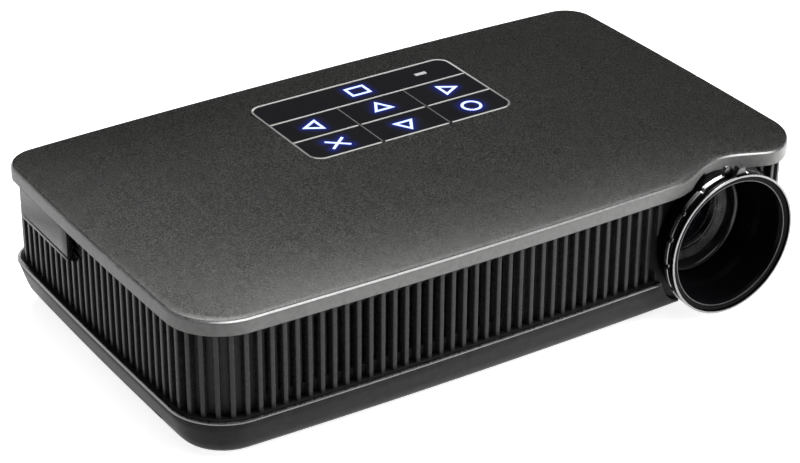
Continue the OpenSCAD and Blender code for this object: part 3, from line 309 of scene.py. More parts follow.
def cad_copy(node, edge):
    """Copy of a CAD node's mesh with merged points, edges eased by this width and smooth shading."""
    mesh = frame["nodes"][node].data.copy()
    mesh.name = node + "_fine"
    work = bmesh.new()
    work.from_mesh(mesh)
    bmesh.ops.remove_doubles(work, verts=work.verts, dist=1e-6)
    if edge:
        flat = math.radians(0.5)
        bmesh.ops.dissolve_limit(work, angle_limit=flat, verts=work.verts, edges=work.edges)
    work.to_mesh(mesh)
    work.free()
    return smooth(bevelled(mesh, edge) if edge else mesh)


def joined(name, *meshes):
    work = bmesh.new()
    for mesh in meshes:
        work.from_mesh(mesh)
    result = bpy.data.meshes.new(name)
    work.to_mesh(result)
    work.free()
    return result


# ---- Finishes ----

def feed(tree, socket, value):
    """Links a socket to an output, or sets its number or colour."""
    if isinstance(value, bpy.types.NodeSocket):
        tree.links.new(value, socket)
    else:
        socket.default_value = value


def wired(tree, kind, inputs, **settings):
    """New node with these settings, its inputs fed by name or number."""
    node = tree.nodes.new(kind)
    for key, value in settings.items():
        setattr(node, key, value)
    for key, value in inputs.items():
        feed(tree, node.inputs[key], value)
    return node


def worked_out(tree, operation, a, b):
    return wired(tree, "ShaderNodeMath", {0: a, 1: b}, operation=operation).outputs[0]


def ranged(tree, value, low, high, start=0.0, end=1.0):
    """Number from low to high while the value runs from start to end."""
    inputs = {"Value": value, "From Min": start, "From Max": end, "To Min": low, "To Max": high}
    return wired(tree, "ShaderNodeMapRange", inputs).outputs["Result"]


class Finish:
    """Principled material with a few helpers for its node graph."""

    def __init__(self, name, colour, rough, metal=0.0, **sockets):
        self.material = bpy.data.materials.new(name)
        self.material.use_nodes = True
        self.tree = self.material.node_tree
        self.shader = self.tree.nodes["Principled BSDF"]
        self.coordinates = None
        sockets.update(Base_Color=(*colour, 1), Roughness=rough, Metallic=metal)
        for socket, value in sockets.items():
            self.put(socket.replace("_", " "), value)

    def put(self, socket, value):
        feed(self.tree, self.shader.inputs[socket], value)

    def add(self, kind, **inputs):
        return wired(self.tree, "ShaderNode" + kind, {k.replace("_", " "): v for k, v in inputs.items()})

    def attribute(self, name):
        """Number that the piece's own mesh carries under this name."""
        return wired(self.tree, "ShaderNodeAttribute", {}, attribute_name=name).outputs["Fac"]

    def place(self):
        """The piece's own coordinates."""
        if self.coordinates is None:
            self.coordinates = self.add("TexCoord")
        return self.coordinates.outputs["Object"]

    def noise(self, size, detail=2.0, rough=0.5, place=None):
        """Noise whose grains are about the given size in millimetres."""
        return self.add("TexNoise", Vector=place or self.place(), Scale=1 / (size * MM), Detail=detail,
                        Roughness=rough).outputs["Fac"]

    def cells(self, size):
        """Outputs of a pattern of cells of about the given size in millimetres."""
        return self.add("TexVoronoi", Vector=self.place(), Scale=1 / (size * MM)).outputs

    def ramp(self, value, low, high, start=0.3, end=0.7):
        """Colour from low to high while the value runs from start to end."""
        node = self.add("ValToRGB", Fac=value)
        first, last = node.color_ramp.elements
        first.position, first.color = start, (*low, 1)
        last.position, last.color = end, (*high, 1)
        return node.outputs["Color"]

    def between(self, *limits):
        return ranged(self.tree, *limits)

    def mixed(self, share, a, b):
        """Colour a, and b where the share is 1: inputs 6 and 7 and output 2 are the node's colours."""
        a, b = [(*c, 1) if isinstance(c, tuple) else c for c in (a, b)]
        return wired(self.tree, "ShaderNodeMix", {0: share, 6: a, 7: b}, data_type="RGBA").outputs[2]

    def colour(self, value):
        self.put("Base Color", value)

    def rough(self, value):
        self.put("Roughness", value)

    def bumps(self, height, depth, strength=1.0):
        """Bump of the given depth in millimetres."""
        node = self.add("Bump", Height=height, Distance=depth * MM, Strength=strength)
        self.put("Normal", node.outputs["Normal"])


def metal_flake_paint(name, dark, light, rough):
    """Gunmetal paint with fine flakes under a satin coat."""
    paint = Finish(name, dark, rough, 0.6, Specular_IOR_Level=0.2)
    flake = paint.add("SeparateColor", Color=paint.cells(0.16)["Color"]).outputs[0]
    cloud = paint.noise(0.5, 3)
    shade = paint.ramp(flake, dark, light, 0.35, 1.0)
    paint.colour(paint.mixed(paint.between(cloud, 0.0, 0.4, 0.35, 0.7), shade, light))
    paint.rough(paint.between(flake, rough - 0.07, rough + 0.07))
    paint.bumps(flake, 0.004, 0.5)
    return paint.material


def moulded(name, colour, rough, grain, depth, gloss=0.3):
    """Moulded plastic with a fine eroded grain."""
    plastic = Finish(name, colour, rough, Specular_IOR_Level=gloss)
    grains = plastic.noise(grain, 4, 0.6)
    paler = tuple(min(1, c * 1.25 + 0.004) for c in colour)
    plastic.colour(plastic.ramp(plastic.noise(grain * 6, 3), colour, paler))
    plastic.rough(plastic.between(grains, rough - 0.06, rough + 0.08, 0.3, 0.7))
    plastic.bumps(grains, depth, 0.5)
    return plastic.material


def polished(name, colour, rough, coat, level=0.5):
    """Glossy plastic with faint smears in its gloss."""
    gloss = Finish(name, colour, rough, Coat_Weight=coat, Coat_Roughness=0.03,
                   Specular_IOR_Level=level)
    smears = gloss.noise(6, 4, 0.6)
    gloss.rough(gloss.between(smears, rough, rough + 0.05, 0.35, 0.65))
    gloss.bumps(gloss.noise(3, 2), 0.002, 0.3)
    return gloss.material


def printed_line(name, dim, bright):
    """Silver print with worn spots, lighter or darker by its mesh's shine attribute, which paints the
    light and shade each line catches.
    """
    line = Finish(name, bright, 0.35, 0.3)
    worn = line.between(line.noise(0.4, 3), 0.0, 0.25, 0.3, 0.7)
    line.colour(line.mixed(worn, line.ramp(line.attribute("shine"), dim, bright, 0.0, 1.0), dim))
    line.bumps(line.noise(0.2, 2), 0.003, 0.4)
    return line.material


def bare_metal(name, colour, rough, along, grain, depth=0.004):
    """Metal with a brushed, rolled or cast grain."""
    metal = Finish(name, colour, rough, 1.0)
    place = metal.add("Mapping", Vector=metal.place(), Scale=along).outputs["Vector"]
    grains = metal.noise(grain, 4, 0.6, place)
    darker = tuple(c * 0.72 for c in colour)
    metal.colour(metal.ramp(grains, darker, colour, 0.25, 0.65))
    metal.rough(metal.between(grains, rough - 0.08, rough + 0.12, 0.3, 0.7))
    metal.bumps(grains, depth, 0.6)
    return metal.material


def lit_sign(name, colour, strength):
    """Sign that shines by itself, a little uneven."""
    sign = Finish(name, colour, 0.3, Emission_Strength=strength)
    grain = sign.noise(0.6, 2)
    paler = tuple(min(1, c * 1.08) for c in colour)
    tone = sign.ramp(grain, colour, paler)
    sign.colour(tone)
    sign.put("Emission Color", tone)
    return sign.material


def halo_glass(name):
    """Black panel glass that a lit sign shines through, by the mesh's own glow attribute."""
    glass = Finish(name, (0.006, 0.006, 0.008), 0.1, Coat_Weight=0.6, Coat_Roughness=0.03,
                   Emission_Strength=1.0)
    tone = glass.ramp(glass.attribute("glow"), (0, 0, 0), (0.003, 0.01, 0.17), 0.0, 1.0)
    glass.put("Emission Color", tone)
    glass.rough(glass.between(glass.noise(6, 4), 0.08, 0.13, 0.35, 0.65))
    return glass.material


def clear_glass(name, tint, rough, weight):
    """Coated glass, darker where it is seen along its surface."""
    glass = Finish(name, tint, rough, Transmission_Weight=weight, IOR=1.5, Coat_Weight=0.5,
                   Coat_Roughness=0.01)
    edge = glass.add("LayerWeight", Blend=0.35)
    glass.colour(glass.mixed(edge.outputs["Facing"], tint, tuple(c * 0.6 for c in tint)))
    glass.bumps(glass.noise(4, 2), 0.001, 0.2)
    return glass.material


def circuit_board(name):
    """Green lacquer over a weave of tracks."""
    board = Finish(name, (0.01, 0.07, 0.03), 0.35, Coat_Weight=0.3, Coat_Roughness=0.15)
    tracks = board.add("TexBrick", Vector=board.place(), Scale=420.0, Mortar_Size=0.02,
                       Color1=(0.012, 0.10, 0.04, 1), Color2=(0.008, 0.07, 0.03, 1),
                       Mortar=(0.03, 0.20, 0.08, 1))
    board.colour(tracks.outputs["Color"])
    board.bumps(tracks.outputs["Fac"], 0.03, 0.5)
    return board.material


def open_foam(name):
    """Dark foam with open cells."""
    foam = Finish(name, (0.004, 0.004, 0.004), 0.95)
    cells = foam.cells(0.5)["Distance"]
    foam.colour(foam.ramp(cells, (0.002, 0.002, 0.002), (0.012, 0.012, 0.012), 0.1, 0.7))
    foam.bumps(cells, 0.2, 0.8)
    return foam.material


EVEN = (1, 1, 1)
MAKERS = {
    # Dark and light side of the flakes, roughness
    metal_flake_paint: {
        "lid_paint": ((0.014, 0.014, 0.0134), (0.036, 0.036, 0.034), 0.25),
        "cover_paint": ((0.018, 0.018, 0.0185), (0.042, 0.042, 0.042), 0.3),
    },
    # Colour, roughness, size and depth of the grain, gloss
    moulded: {
        "band_satin": ((0.025, 0.025, 0.0245), 0.27, 0.2, 0.003, 0.18),
        "tray_plastic": ((0.02, 0.02, 0.02), 0.34, 0.25, 0.006, 0.05),
        # Lighter copy of the lid's paint for its side, a painted sheen
        "side_sheen_paint": ((0.125, 0.125, 0.123), 0.38, 0.16, 0.004),
        "groove_black": ((0.004, 0.004, 0.004), 0.6, 0.25, 0.01),
        "status_clear": ((0.33, 0.33, 0.34), 0.3, 0.3, 0.003),
        "mount_black": ((0.01, 0.01, 0.01), 0.55, 0.3, 0.01),
        "foot_rubber": ((0.018, 0.018, 0.018), 0.75, 0.35, 0.03),
        "chip_black": ((0.02, 0.02, 0.021), 0.45, 0.15, 0.006),
        "jack_plastic": ((0.02, 0.02, 0.02), 0.4, 0.2, 0.006),
        "red_diode": ((0.45, 0.10, 0.08), 0.4, 0.3, 0.005),
        "green_diode": ((0.10, 0.36, 0.14), 0.4, 0.3, 0.005),
        "blue_diode": ((0.09, 0.14, 0.5), 0.4, 0.3, 0.005),
        "blower_plastic": ((0.02, 0.02, 0.02), 0.42, 0.25, 0.008),
        "speaker_black": ((0.025, 0.025, 0.025), 0.6, 0.3, 0.02),
        "switch_black": ((0.025, 0.025, 0.025), 0.4, 0.2, 0.006),
    },
    # Colour, roughness, coat, gloss
    polished: {
        "panel_glass": ((0.006, 0.006, 0.008), 0.06, 0.6),
        "ring_black": ((0.002, 0.002, 0.0024), 0.2, 0.0, 0.04),
        "barrel_black": ((0.008, 0.008, 0.009), 0.22, 0.2, 0.3),
        "imager_glass": ((0.10, 0.12, 0.15), 0.05, 0.8),
        "battery_wrap": ((0.03, 0.035, 0.045), 0.25, 0.3),
        "cable_film": ((0.5, 0.42, 0.26), 0.3, 0.3),
    },
    # Colour, roughness, fineness of the grain along each axis, its size and depth
    bare_metal: {
        # Pale metal of the tray's lip, a painted highlight along the rim
        "lip_highlight_metal": ((0.22, 0.22, 0.22), 0.3, EVEN, 0.4, 0.002),
        # Near-white metal of the lid's edge line, a painted highlight
        "edge_highlight_metal": ((0.85, 0.85, 0.84), 0.38, EVEN, 0.4, 0.002),
        # Bright metal of the hood's rim line, a painted highlight
        "rim_highlight_metal": ((0.3, 0.3, 0.305), 0.26, EVEN, 0.4, 0.002),
        "flange_satin": ((0.35, 0.35, 0.355), 0.3, EVEN, 0.3, 0.002),
        # Satin metal of the lever, also worn by the ledge line as a painted highlight
        "lever_satin_and_ledge_highlight": ((0.12, 0.12, 0.122), 0.3, EVEN, 0.3, 0.002),
        "barrel_satin": ((0.17, 0.17, 0.175), 0.18, EVEN, 3.0, 0.002),
        "insert_brass": ((0.62, 0.44, 0.18), 0.28, (1, 1, 8), 0.3),
        "screw_steel": ((0.2, 0.2, 0.21), 0.3, (1, 1, 6), 0.3),
        "pin_steel": ((0.56, 0.56, 0.58), 0.22, (1, 1, 6), 0.3),
        "shield_tin": ((0.6, 0.6, 0.59), 0.34, (1, 9, 1), 0.5),
        "socket_steel": ((0.55, 0.55, 0.57), 0.25, (8, 1, 1), 0.4),
        "engine_metal": ((0.45, 0.46, 0.48), 0.5, EVEN, 0.35, 0.02),
        "fin_metal": ((0.55, 0.55, 0.57), 0.38, (1, 12, 1), 0.4),
        "copper_plate": ((0.65, 0.32, 0.18), 0.3, (1, 10, 1), 0.4),
        "contact_gold": ((0.75, 0.55, 0.22), 0.25, (1, 1, 8), 0.3),
    },
    # Tint, roughness, share of light let through
    clear_glass: {
        "lens_glass": ((0.05, 0.056, 0.075), 0.02, 0.9),
        "prism_glass": ((0.72, 0.84, 0.9), 0.03, 0.85),
    },
    # Tone of the print's worn spots and painted shade, and its lit tone
    printed_line: {"panel_line": ((0.05, 0.05, 0.048), (0.46, 0.46, 0.45))},
    # Colour and strength of the light
    lit_sign: {"sign_light": ((0.42, 0.53, 1.0), 0.85)},
    halo_glass: {"halo_light": ()},
    circuit_board: {"board_green": ()},
    open_foam: {"filter_foam": ()},
}
FINISHES = {name: make(name, *values) for make, rows in MAKERS.items() for name, values in rows.items()}

# CAD nodes that are seen as they are, by their finish
WORN_BY = {
    "panel_glass": "touch_panel",
    "sign_light": "key_symbols",
    "status_clear": "status_window",
    "board_green": "touch_board imager_board main_board",
    "filter_foam": "dust_filter",
    "pin_steel": "cover_pin blower_shaft board_screws",
    "foot_rubber": "rubber_feet",
    "battery_wrap": "battery_pack",
    "contact_gold": "battery_contacts",
    "insert_brass": "tripod_insert",
    "screw_steel": "case_screws",
    "mount_black": "lens_mount",
    "lens_glass": "rear_lens collimator_lenses",
    "engine_metal": "engine_housing",
    "prism_glass": "combining_prism mirror_plates",
    "imager_glass": "imager_chip",
    "red_diode": "red_light_module",
    "green_diode": "green_light_module",
    "blue_diode": "blue_light_module",
    "fin_metal": "heat_sink",
    "copper_plate": "heat_spreader",
    "blower_plastic": "blower_housing blower_impeller",
    "chip_black": "main_chip",
    "shield_tin": "shield_can",
    "cable_film": "flat_cable",
    "socket_steel": "card_socket display_socket data_socket switch_housing",
    "jack_plastic": "power_jack av_jack",
    "speaker_black": "speaker",
}
for finish, nodes in WORN_BY.items():
    for node in nodes.split():
        surface = frame["nodes"][node].data
        surface.materials.clear()
        surface.materials.append(FINISHES[finish])

RECORD = frame["record"]
BODY_OF = {node: body for body, nodes in RECORD["behaviour"]["bodies"].items() for node in nodes}


def refined(node, finish, edge=0):
    """CAD shape with eased edges and smooth shading in place of its node."""
    return piece(node + "_fine", cad_copy(node, edge), BODY_OF[node], finish, [node])


# ---- Lid ----

SEAT_GAP = 0.05
SEAT_LEDGE = 1
EDGE_STEPS = 6
CROWN_STEPS = 24
# Room for the focus ring: radius, front end, back end
NECK_CUT = (11.7, FRONT_Y - 1, -31.85)
SLEEVE_CUT = (11.0, FRONT_Y - 1, -30.2)
COLLAR_CUT = (12.2, -30.5, -28.8)
BOSS_R = 2.4
BOSS_BORE_R = 1.05
# Part of the lid's rounded edge that the bright line, a painted highlight, covers, in degrees up from
# the side
LINE_START = 28
LINE_END = 68
# How far that line and the lighter, sheen-painted band below it stand out of the lid, and their hidden
# side is sunk in
PROUD = 0.02
SUNK = -0.2


def panel_reach(x, y):
    """Signed distance from the touch panel's outline, negative inside."""
    dx = abs(x - PANEL_X - PANEL_W / 2) - (PANEL_W / 2 - PANEL_R)
    dy = abs(y - PANEL_Y - PANEL_D / 2) - (PANEL_D / 2 - PANEL_R)
    return math.hypot(max(dx, 0), max(dy, 0)) + min(max(dx, dy), 0) - PANEL_R


def panel_ring(around, gap):
    """Points at this gap outside the panel's outline, one in the direction of each given point."""
    cx, cy = PANEL_X + PANEL_W / 2, PANEL_Y + PANEL_D / 2
    ring = []
    for x, y in around:
        low, high = 0.0, 1.0
        for _ in range(40):
            t = (low + high) / 2
            if panel_reach(cx + t * (x - cx), cy + t * (y - cy)) < gap:
                low = t
            else:
                high = t
        ring.append((cx + low * (x - cx), cy + low * (y - cy)))
    return ring


def blended(a, b, t):
    return [(p[0] * (1 - t) + q[0] * t, p[1] * (1 - t) + q[1] * t) for p, q in zip(a, b)]


def on_lid_edge(proud, turn):
    """Loop on the lid's rounded edge, at this angle up from its side and standing proud by this much."""
    t = math.radians(turn)
    r = LID_EDGE_R + proud
    flat = outline(LID_IN + LID_EDGE_R - r * math.cos(t))
    return [(x, y, crown_z(x, y) - LID_EDGE_R + r * math.sin(t)) for x, y in flat]


def lid_mesh():
    """Crowned shell with the panel's seat and the screw bosses under it."""
    edge = outline(LID_IN + LID_EDGE_R)
    opening = panel_ring(edge, SEAT_GAP)
    rings = [level(outline(LID_IN), LID_Z)]
    rings += [on_lid_edge(0, 90 * i / EDGE_STEPS) for i in range(EDGE_STEPS + 1)]
    for i in range(1, CROWN_STEPS + 1):
        flat = blended(edge, opening, (i / CROWN_STEPS) ** 1.15)
        rings.append([(x, y, crown_z(x, y)) for x, y in flat])
    # Down into the panel's seat, back under the roof and down inside the wall
    ledge, inner = panel_ring(edge, -SEAT_LEDGE), outline(LID_IN + CASE_WALL)
    seat_z = PANEL_TOP_Z - PANEL_T
    rings += [level(opening, seat_z), level(ledge, seat_z), level(ledge, ROOF_Z), level(inner, ROOF_Z),
              level(inner, LID_Z)]
    shell = carved(
        rings_mesh("lid_shell", rings, closed=True),
        lens_cylinder("neck_cut", *NECK_CUT),
        lens_cylinder("sleeve_cut", *SLEEVE_CUT),
        lens_cylinder("collar_cut", *COLLAR_CUT, ROOF_Z),
    )
    bosses = [carved(upright("boss", *place, BOSS_R, RIM_Z + 0.2, ROOF_Z + 0.2),
                     upright("boss_bore", *place, BOSS_BORE_R, RIM_Z - 1, ROOF_Z - 2))
              for place in SCREW_PLACES]
    return smooth(joined("lid_shell", shell, *bosses), 30)


def lid_line_mesh():
    """Bright metal line along the lid's rounded edge, a painted highlight."""
    steps = ((SUNK, LINE_START), (PROUD, LINE_START), (0.025, 45), (PROUD, LINE_END), (SUNK, LINE_END))
    rings = [on_lid_edge(proud, turn) for proud, turn in steps]
    return smooth(rings_mesh("lid_line", rings, closed=True), 40)


def lid_rim_mesh():
    """Lighter paint on the lid's side, below that line, a painted sheen for the light the side catches.
    """
    rings = [level(outline(LID_IN + inset), LID_Z + 0.03) for inset in (-SUNK, -PROUD)]
    rings += [on_lid_edge(PROUD, turn) for turn in (0, 10, 20, LINE_START)]
    rings.append(on_lid_edge(SUNK, LINE_START))
    rim = rings_mesh("lid_rim", rings, closed=True)
    return smooth(carved(rim, lens_cylinder("neck_cut", *NECK_CUT)), 30)


piece("lid_shell", lid_mesh(), "case", "lid_paint", ["top_cover"])
# The lid's edge line is near-white metal that paints the highlight of the rounded edge
piece("lid_line", lid_line_mesh(), "case", "edge_highlight_metal")
# The lid's side is painted lighter than its top, a painted sheen
piece("lid_rim", lid_rim_mesh(), "case", "side_sheen_paint")

# ---- Ribbed band: a row of ribs along the case outline ----

RIB_PITCH = 2.2
RIB_DEPTH = 1.3
RIB_ROOT = 0.3
RIB_SIZE = (0.8, RIB_DEPTH + RIB_ROOT, LID_Z - RIM_Z)
RIB_ROUND = 0.16
GROOVE_IN = RIB_IN + RIB_DEPTH
BAND_INNER = GROOVE_IN + 1
VENT_SIZE = (0.9, 1.6, LID_Z - RIM_Z - 4)
VENT_ROUND = 0.01
# Boxes in the frame, by their low and high corner
LENS_BOX = (LENS_X - 10.7, -OUTSIDE, 0), (LENS_X + 9.8, FRAME_Y, 0)
INTAKE_BOX = (-47, -OUTSIDE, 0), (LENS_X - 20.6, FRAME_Y - 20.2, 0)
OUTLET_BOX = (49, FRAME_Y + 2, 0), (OUTSIDE, FRAME_Y + 22, 0)
# Cuts for the ring, the port cover with its hinge and finger notch, the card and the rear panel
RECESS_R = 13.4
RECESS_END = -27.4
LEFT_X = -61
POCKET_X = -57.27
POCKET_BACK = 28.4
COVER_Z = LID_Z - 5.5
COVER_FRONT = 8.3
HINGE = (-57.823, 26.2)
KNUCKLE_R = 1.2
FINGER_R = 2.8
FINGER_END = -57.2
CARD_X = -54
CARD_Y = COVER_FRONT + 7.5
CARD_Z = 18.8
CARD_W = 11.6
CARD_H = 1.2
REAR_SEAT = (-51, 15, 20, OUTSIDE, 16.2, LID_Z + 1)


class Tree:
    """Geometry Nodes tree with named inputs for its sizes."""

    def __init__(self, name, **inputs):
        self.group = bpy.data.node_groups.new(name, "GeometryNodeTree")
        face = self.group.interface
        face.new_socket("Geometry", in_out="INPUT", socket_type="NodeSocketGeometry")
        for label, kind in inputs.items():
            face.new_socket(label, in_out="INPUT", socket_type="NodeSocket" + kind)
        face.new_socket("Geometry", in_out="OUTPUT", socket_type="NodeSocketGeometry")
        self.inlet = self.group.nodes.new("NodeGroupInput").outputs
        self.outlet = self.group.nodes.new("NodeGroupOutput").inputs

    def add(self, kind, inputs, output=0, **settings):
        """One output of a new node, or all of them."""
        outputs = wired(self.group, kind, inputs, **settings).outputs
        return outputs if output is None else outputs[output]

    def both(self, a, b):
        return self.add("FunctionNodeBooleanMath", {0: a, 1: b}, operation="AND")

    def more(self, a, b):
        return self.add("FunctionNodeCompare", {0: a, 1: b}, data_type="FLOAT",
                        operation="GREATER_THAN")

    def finish(self, geometry):
        """Ends the tree: real mesh, with the material."""
        real = self.add("GeometryNodeRealizeInstances", {"Geometry": geometry})
        inputs = {"Geometry": real, "Material": self.inlet["Material"]}
        painted = self.add("GeometryNodeSetMaterial", inputs)
        self.group.links.new(painted, self.outlet[0])
        return self.group


def row_tree():
    """Upright bars spaced along a closed outline, kept inside or outside a box."""
    tree = Tree("row_along_outline", First="Float", Step="Float", Count="Int", Width="Float",
                Depth="Float", Height="Float", Rounding="Float", Low="Vector", High="Vector",
                Inside="Bool", Material="Material")
    inlet = tree.inlet
    path = tree.add("GeometryNodeMeshToCurve", {"Mesh": inlet["Geometry"]})
    number = tree.add("GeometryNodeInputIndex", {})
    steps = worked_out(tree.group, "MULTIPLY", number, inlet["Step"])
    along = worked_out(tree.group, "ADD", steps, inlet["First"])
    walk = tree.add("GeometryNodeSampleCurve", {"Curves": path, "Length": along}, None, mode="LENGTH",
                    use_all_curves=True)
    seats = tree.add("GeometryNodePoints", {"Count": inlet["Count"], "Position": walk["Position"]})
    seats = tree.add("GeometryNodeStoreNamedAttribute",
                     {"Geometry": seats, "Name": "tangent", "Value": walk["Tangent"]},
                     data_type="FLOAT_VECTOR", domain="POINT")

    place = tree.add("GeometryNodeInputPosition", {})
    here, low, high = [tree.add("ShaderNodeSeparateXYZ", {0: source}, None)
                       for source in (place, inlet["Low"], inlet["High"])]
    within = tree.both(*[tree.both(tree.more(here[axis], low[axis]), tree.more(high[axis], here[axis]))
                         for axis in "XY"])
    kept = tree.add("FunctionNodeBooleanMath", {0: within, 1: inlet["Inside"]}, operation="XNOR")

    square = tree.add("GeometryNodeCurvePrimitiveQuadrilateral",
                      {"Width": inlet["Width"], "Height": inlet["Depth"]})
    profile = tree.add("GeometryNodeFilletCurve",
                       {"Curve": square, "Radius": inlet["Rounding"], "Count": 3, "Limit Radius": True},
                       mode="POLY")
    top = tree.add("ShaderNodeCombineXYZ", {"Z": inlet["Height"]})
    line = tree.add("GeometryNodeCurvePrimitiveLine", {"Start": (0, 0, 0), "End": top})
    bar = tree.add("GeometryNodeCurveToMesh",
                   {"Curve": line, "Profile Curve": profile, "Fill Caps": True})
    heading = tree.add("GeometryNodeInputNamedAttribute", {"Name": "tangent"}, data_type="FLOAT_VECTOR")
    turn = tree.add("FunctionNodeAlignEulerToVector", {"Vector": heading}, axis="X", pivot_axis="Z")
    return tree.finish(tree.add("GeometryNodeInstanceOnPoints", {
        "Points": seats, "Selection": kept, "Instance": bar, "Rotation": turn}))


def outline_loop(inset, z):
    """Closed loop of edges from the middle of the front onwards, and its length."""
    points = outline(inset)
    start = min(range(len(points)), key=lambda i: abs(points[i][0]) + OUTSIDE * (points[i][1] > 0))
    ring = level(points[start:] + points[:start], z)
    edges = [(i, (i + 1) % len(ring)) for i in range(len(ring))]
    mesh = bpy.data.meshes.new("outline")
    mesh.from_pydata([(x * MM, (y + FRAME_Y) * MM, z * MM) for x, y, z in ring], edges, [])
    return mesh, sum(math.dist(ring[a], ring[b]) for a, b in edges)


def row(name, tree, shift, inset, z, size, rounding, box, inside):
    """Bars of this width, depth and height along the outline, as a plain mesh."""
    loop, girth = outline_loop(inset, z)
    count = round(outline_loop(RIB_IN, z)[1] / RIB_PITCH)
    step = girth / count
    thing = placed(name, loop)
    loop.name = name
    grown = thing.modifiers.new("row", "NODES")
    grown.node_group = tree
    values = {"First": shift * step * MM, "Step": step * MM, "Count": count, "Rounding": rounding * MM,
              "Inside": inside, "Material": FINISHES["band_satin"]}
    values.update(zip(("Width", "Depth", "Height"), [s * MM for s in size]))
    values.update(zip(("Low", "High"), [[c * MM for c in corner] for corner in box]))
    for item in tree.interface.items_tree:
        if item.in_out == "INPUT" and item.name in values:
            grown[item.identifier] = values[item.name]
    return outward(evaluated(thing))


def band_meshes():
    """Wall with vents, and the ribs before it, both cut for the ring, the cover and the rear panel."""
    tree = row_tree()
    ribs = row("ribs", tree, 0.75, RIB_IN + (RIB_DEPTH + RIB_ROOT) / 2, RIM_Z, RIB_SIZE, RIB_ROUND,
               LENS_BOX, False)
    wall = rings_mesh("wall", [level(outline(inset), z) for inset, z in (
        (GROOVE_IN, RIM_Z), (GROOVE_IN, LID_Z), (BAND_INNER, LID_Z), (BAND_INNER, RIM_Z))], closed=True)
    vents = [row(name, tree, 1.25, GROOVE_IN + 0.5, RIM_Z + 2, VENT_SIZE, VENT_ROUND, box, True)
             for name, box in (("intake", INTAKE_BOX), ("outlet", OUTLET_BOX))]
    wall = carved(wall, *vents)
    cuts = [
        lens_cylinder("recess", RECESS_R, FRONT_Y - 1, RECESS_END),
        block("cover_pocket", LEFT_X, POCKET_X, COVER_FRONT, POCKET_BACK, COVER_Z, LID_Z + 1),
        upright("knuckle_room", *HINGE, KNUCKLE_R, COVER_Z, LID_Z + 1),
        side_cylinder("finger_notch", LEFT_X, FINGER_END, COVER_FRONT + 0.9, COVER_Z + 2.4,
                      FINGER_R),
        block("card_slot", LEFT_X, CARD_X, CARD_Y - CARD_W / 2, CARD_Y + CARD_W / 2, CARD_Z,
              CARD_Z + CARD_H),
        block("rear_seat", *REAR_SEAT),
    ]
    return smooth(carved(wall, *cuts)), smooth(carved(ribs, *cuts))


wall, ribs = band_meshes()
piece("band_wall", wall, "case", "groove_black", ["side_band"])
piece("band_ribs", ribs, "case", "band_satin")

# ---- Tray, doors, cover and sockets ----

LIP_END = -31.4
refined("bottom_tray", "tray_plastic")


def tray_lip_mesh():
    """Pale metal lip around the tray's rim, a painted highlight along it, open where the focus ring
    stands.
    """
    steps = [(0.5, -0.4), (-0.03, -0.4), (-0.03, -0.25), (0.16, 0.04), (0.5, 0.04)]
    rings = [level(outline(inset, False), RIM_Z + rise) for inset, rise in steps]
    lip = rings_mesh("lip", rings, closed=True)
    return smooth(carved(lip, lens_cylinder("lip_cut", RECESS_R, RING_Y, LIP_END)), 40)


# The tray's lip is pale metal that paints the highlight of the rim
piece("tray_lip", tray_lip_mesh(), "case", "lip_highlight_metal")
refined("battery_door", "tray_plastic")
refined("rear_panel", "tray_plastic")
refined("port_cover", "cover_paint", 0.08)
refined("power_switch", "switch_black", 0.15)

# ---- Lens ----

FLANGE_STEPS = 1440
FLANGE_HOLE_R = 11
FLANGE_EASE = 0.07
RIM_LIP = 0.42
SLEEVE_WALL = 0.7
LINE_DEPTH = 0.2


def notched_radius(t):
    """Radius of the flange at this angle, less in its grip notches."""
    for i in range(1, NOTCHES):
        middle = math.radians(i * 360 / NOTCHES - 6)
        off = FLANGE_R * math.sin(t - middle)
        if abs(off) < NOTCH_R and math.cos(t - middle) > 0:
            return FLANGE_R - math.sqrt(NOTCH_R ** 2 - off ** 2)
    return FLANGE_R


def flange_mesh():
    """Notched flange with eased rims."""
    turns = full_turn(FLANGE_STEPS)
    drawn_in = 1 - FLANGE_EASE / FLANGE_R
    rims = [(FLANGE_Y, drawn_in), (FLANGE_Y + FLANGE_EASE, 1), (SLEEVE_Y - FLANGE_EASE, 1),
            (SLEEVE_Y, drawn_in)]
    front, back = [[lens_point(FLANGE_HOLE_R, y, t) for t in turns] for y in (FLANGE_Y, SLEEVE_Y)]
    edge = [[lens_point(notched_radius(t) * share, y, t) for t in turns] for y, share in rims]
    return rings_mesh("flange", [front] + edge + [back], closed=True)


def standing(name, shape, y0, y1, turn):
    """Flat shape of (x, height over the lens axis) turned about that axis, with a thickness."""
    c, s = math.cos(math.radians(turn)), math.sin(math.radians(turn))
    rings = [[(LENS_X + x * c + h * s, y, LENS_Z - x * s + h * c) for x, h in shape] for y in (y0, y1)]
    return bevelled(rings_mesh(name, rings), 0.1, 50)


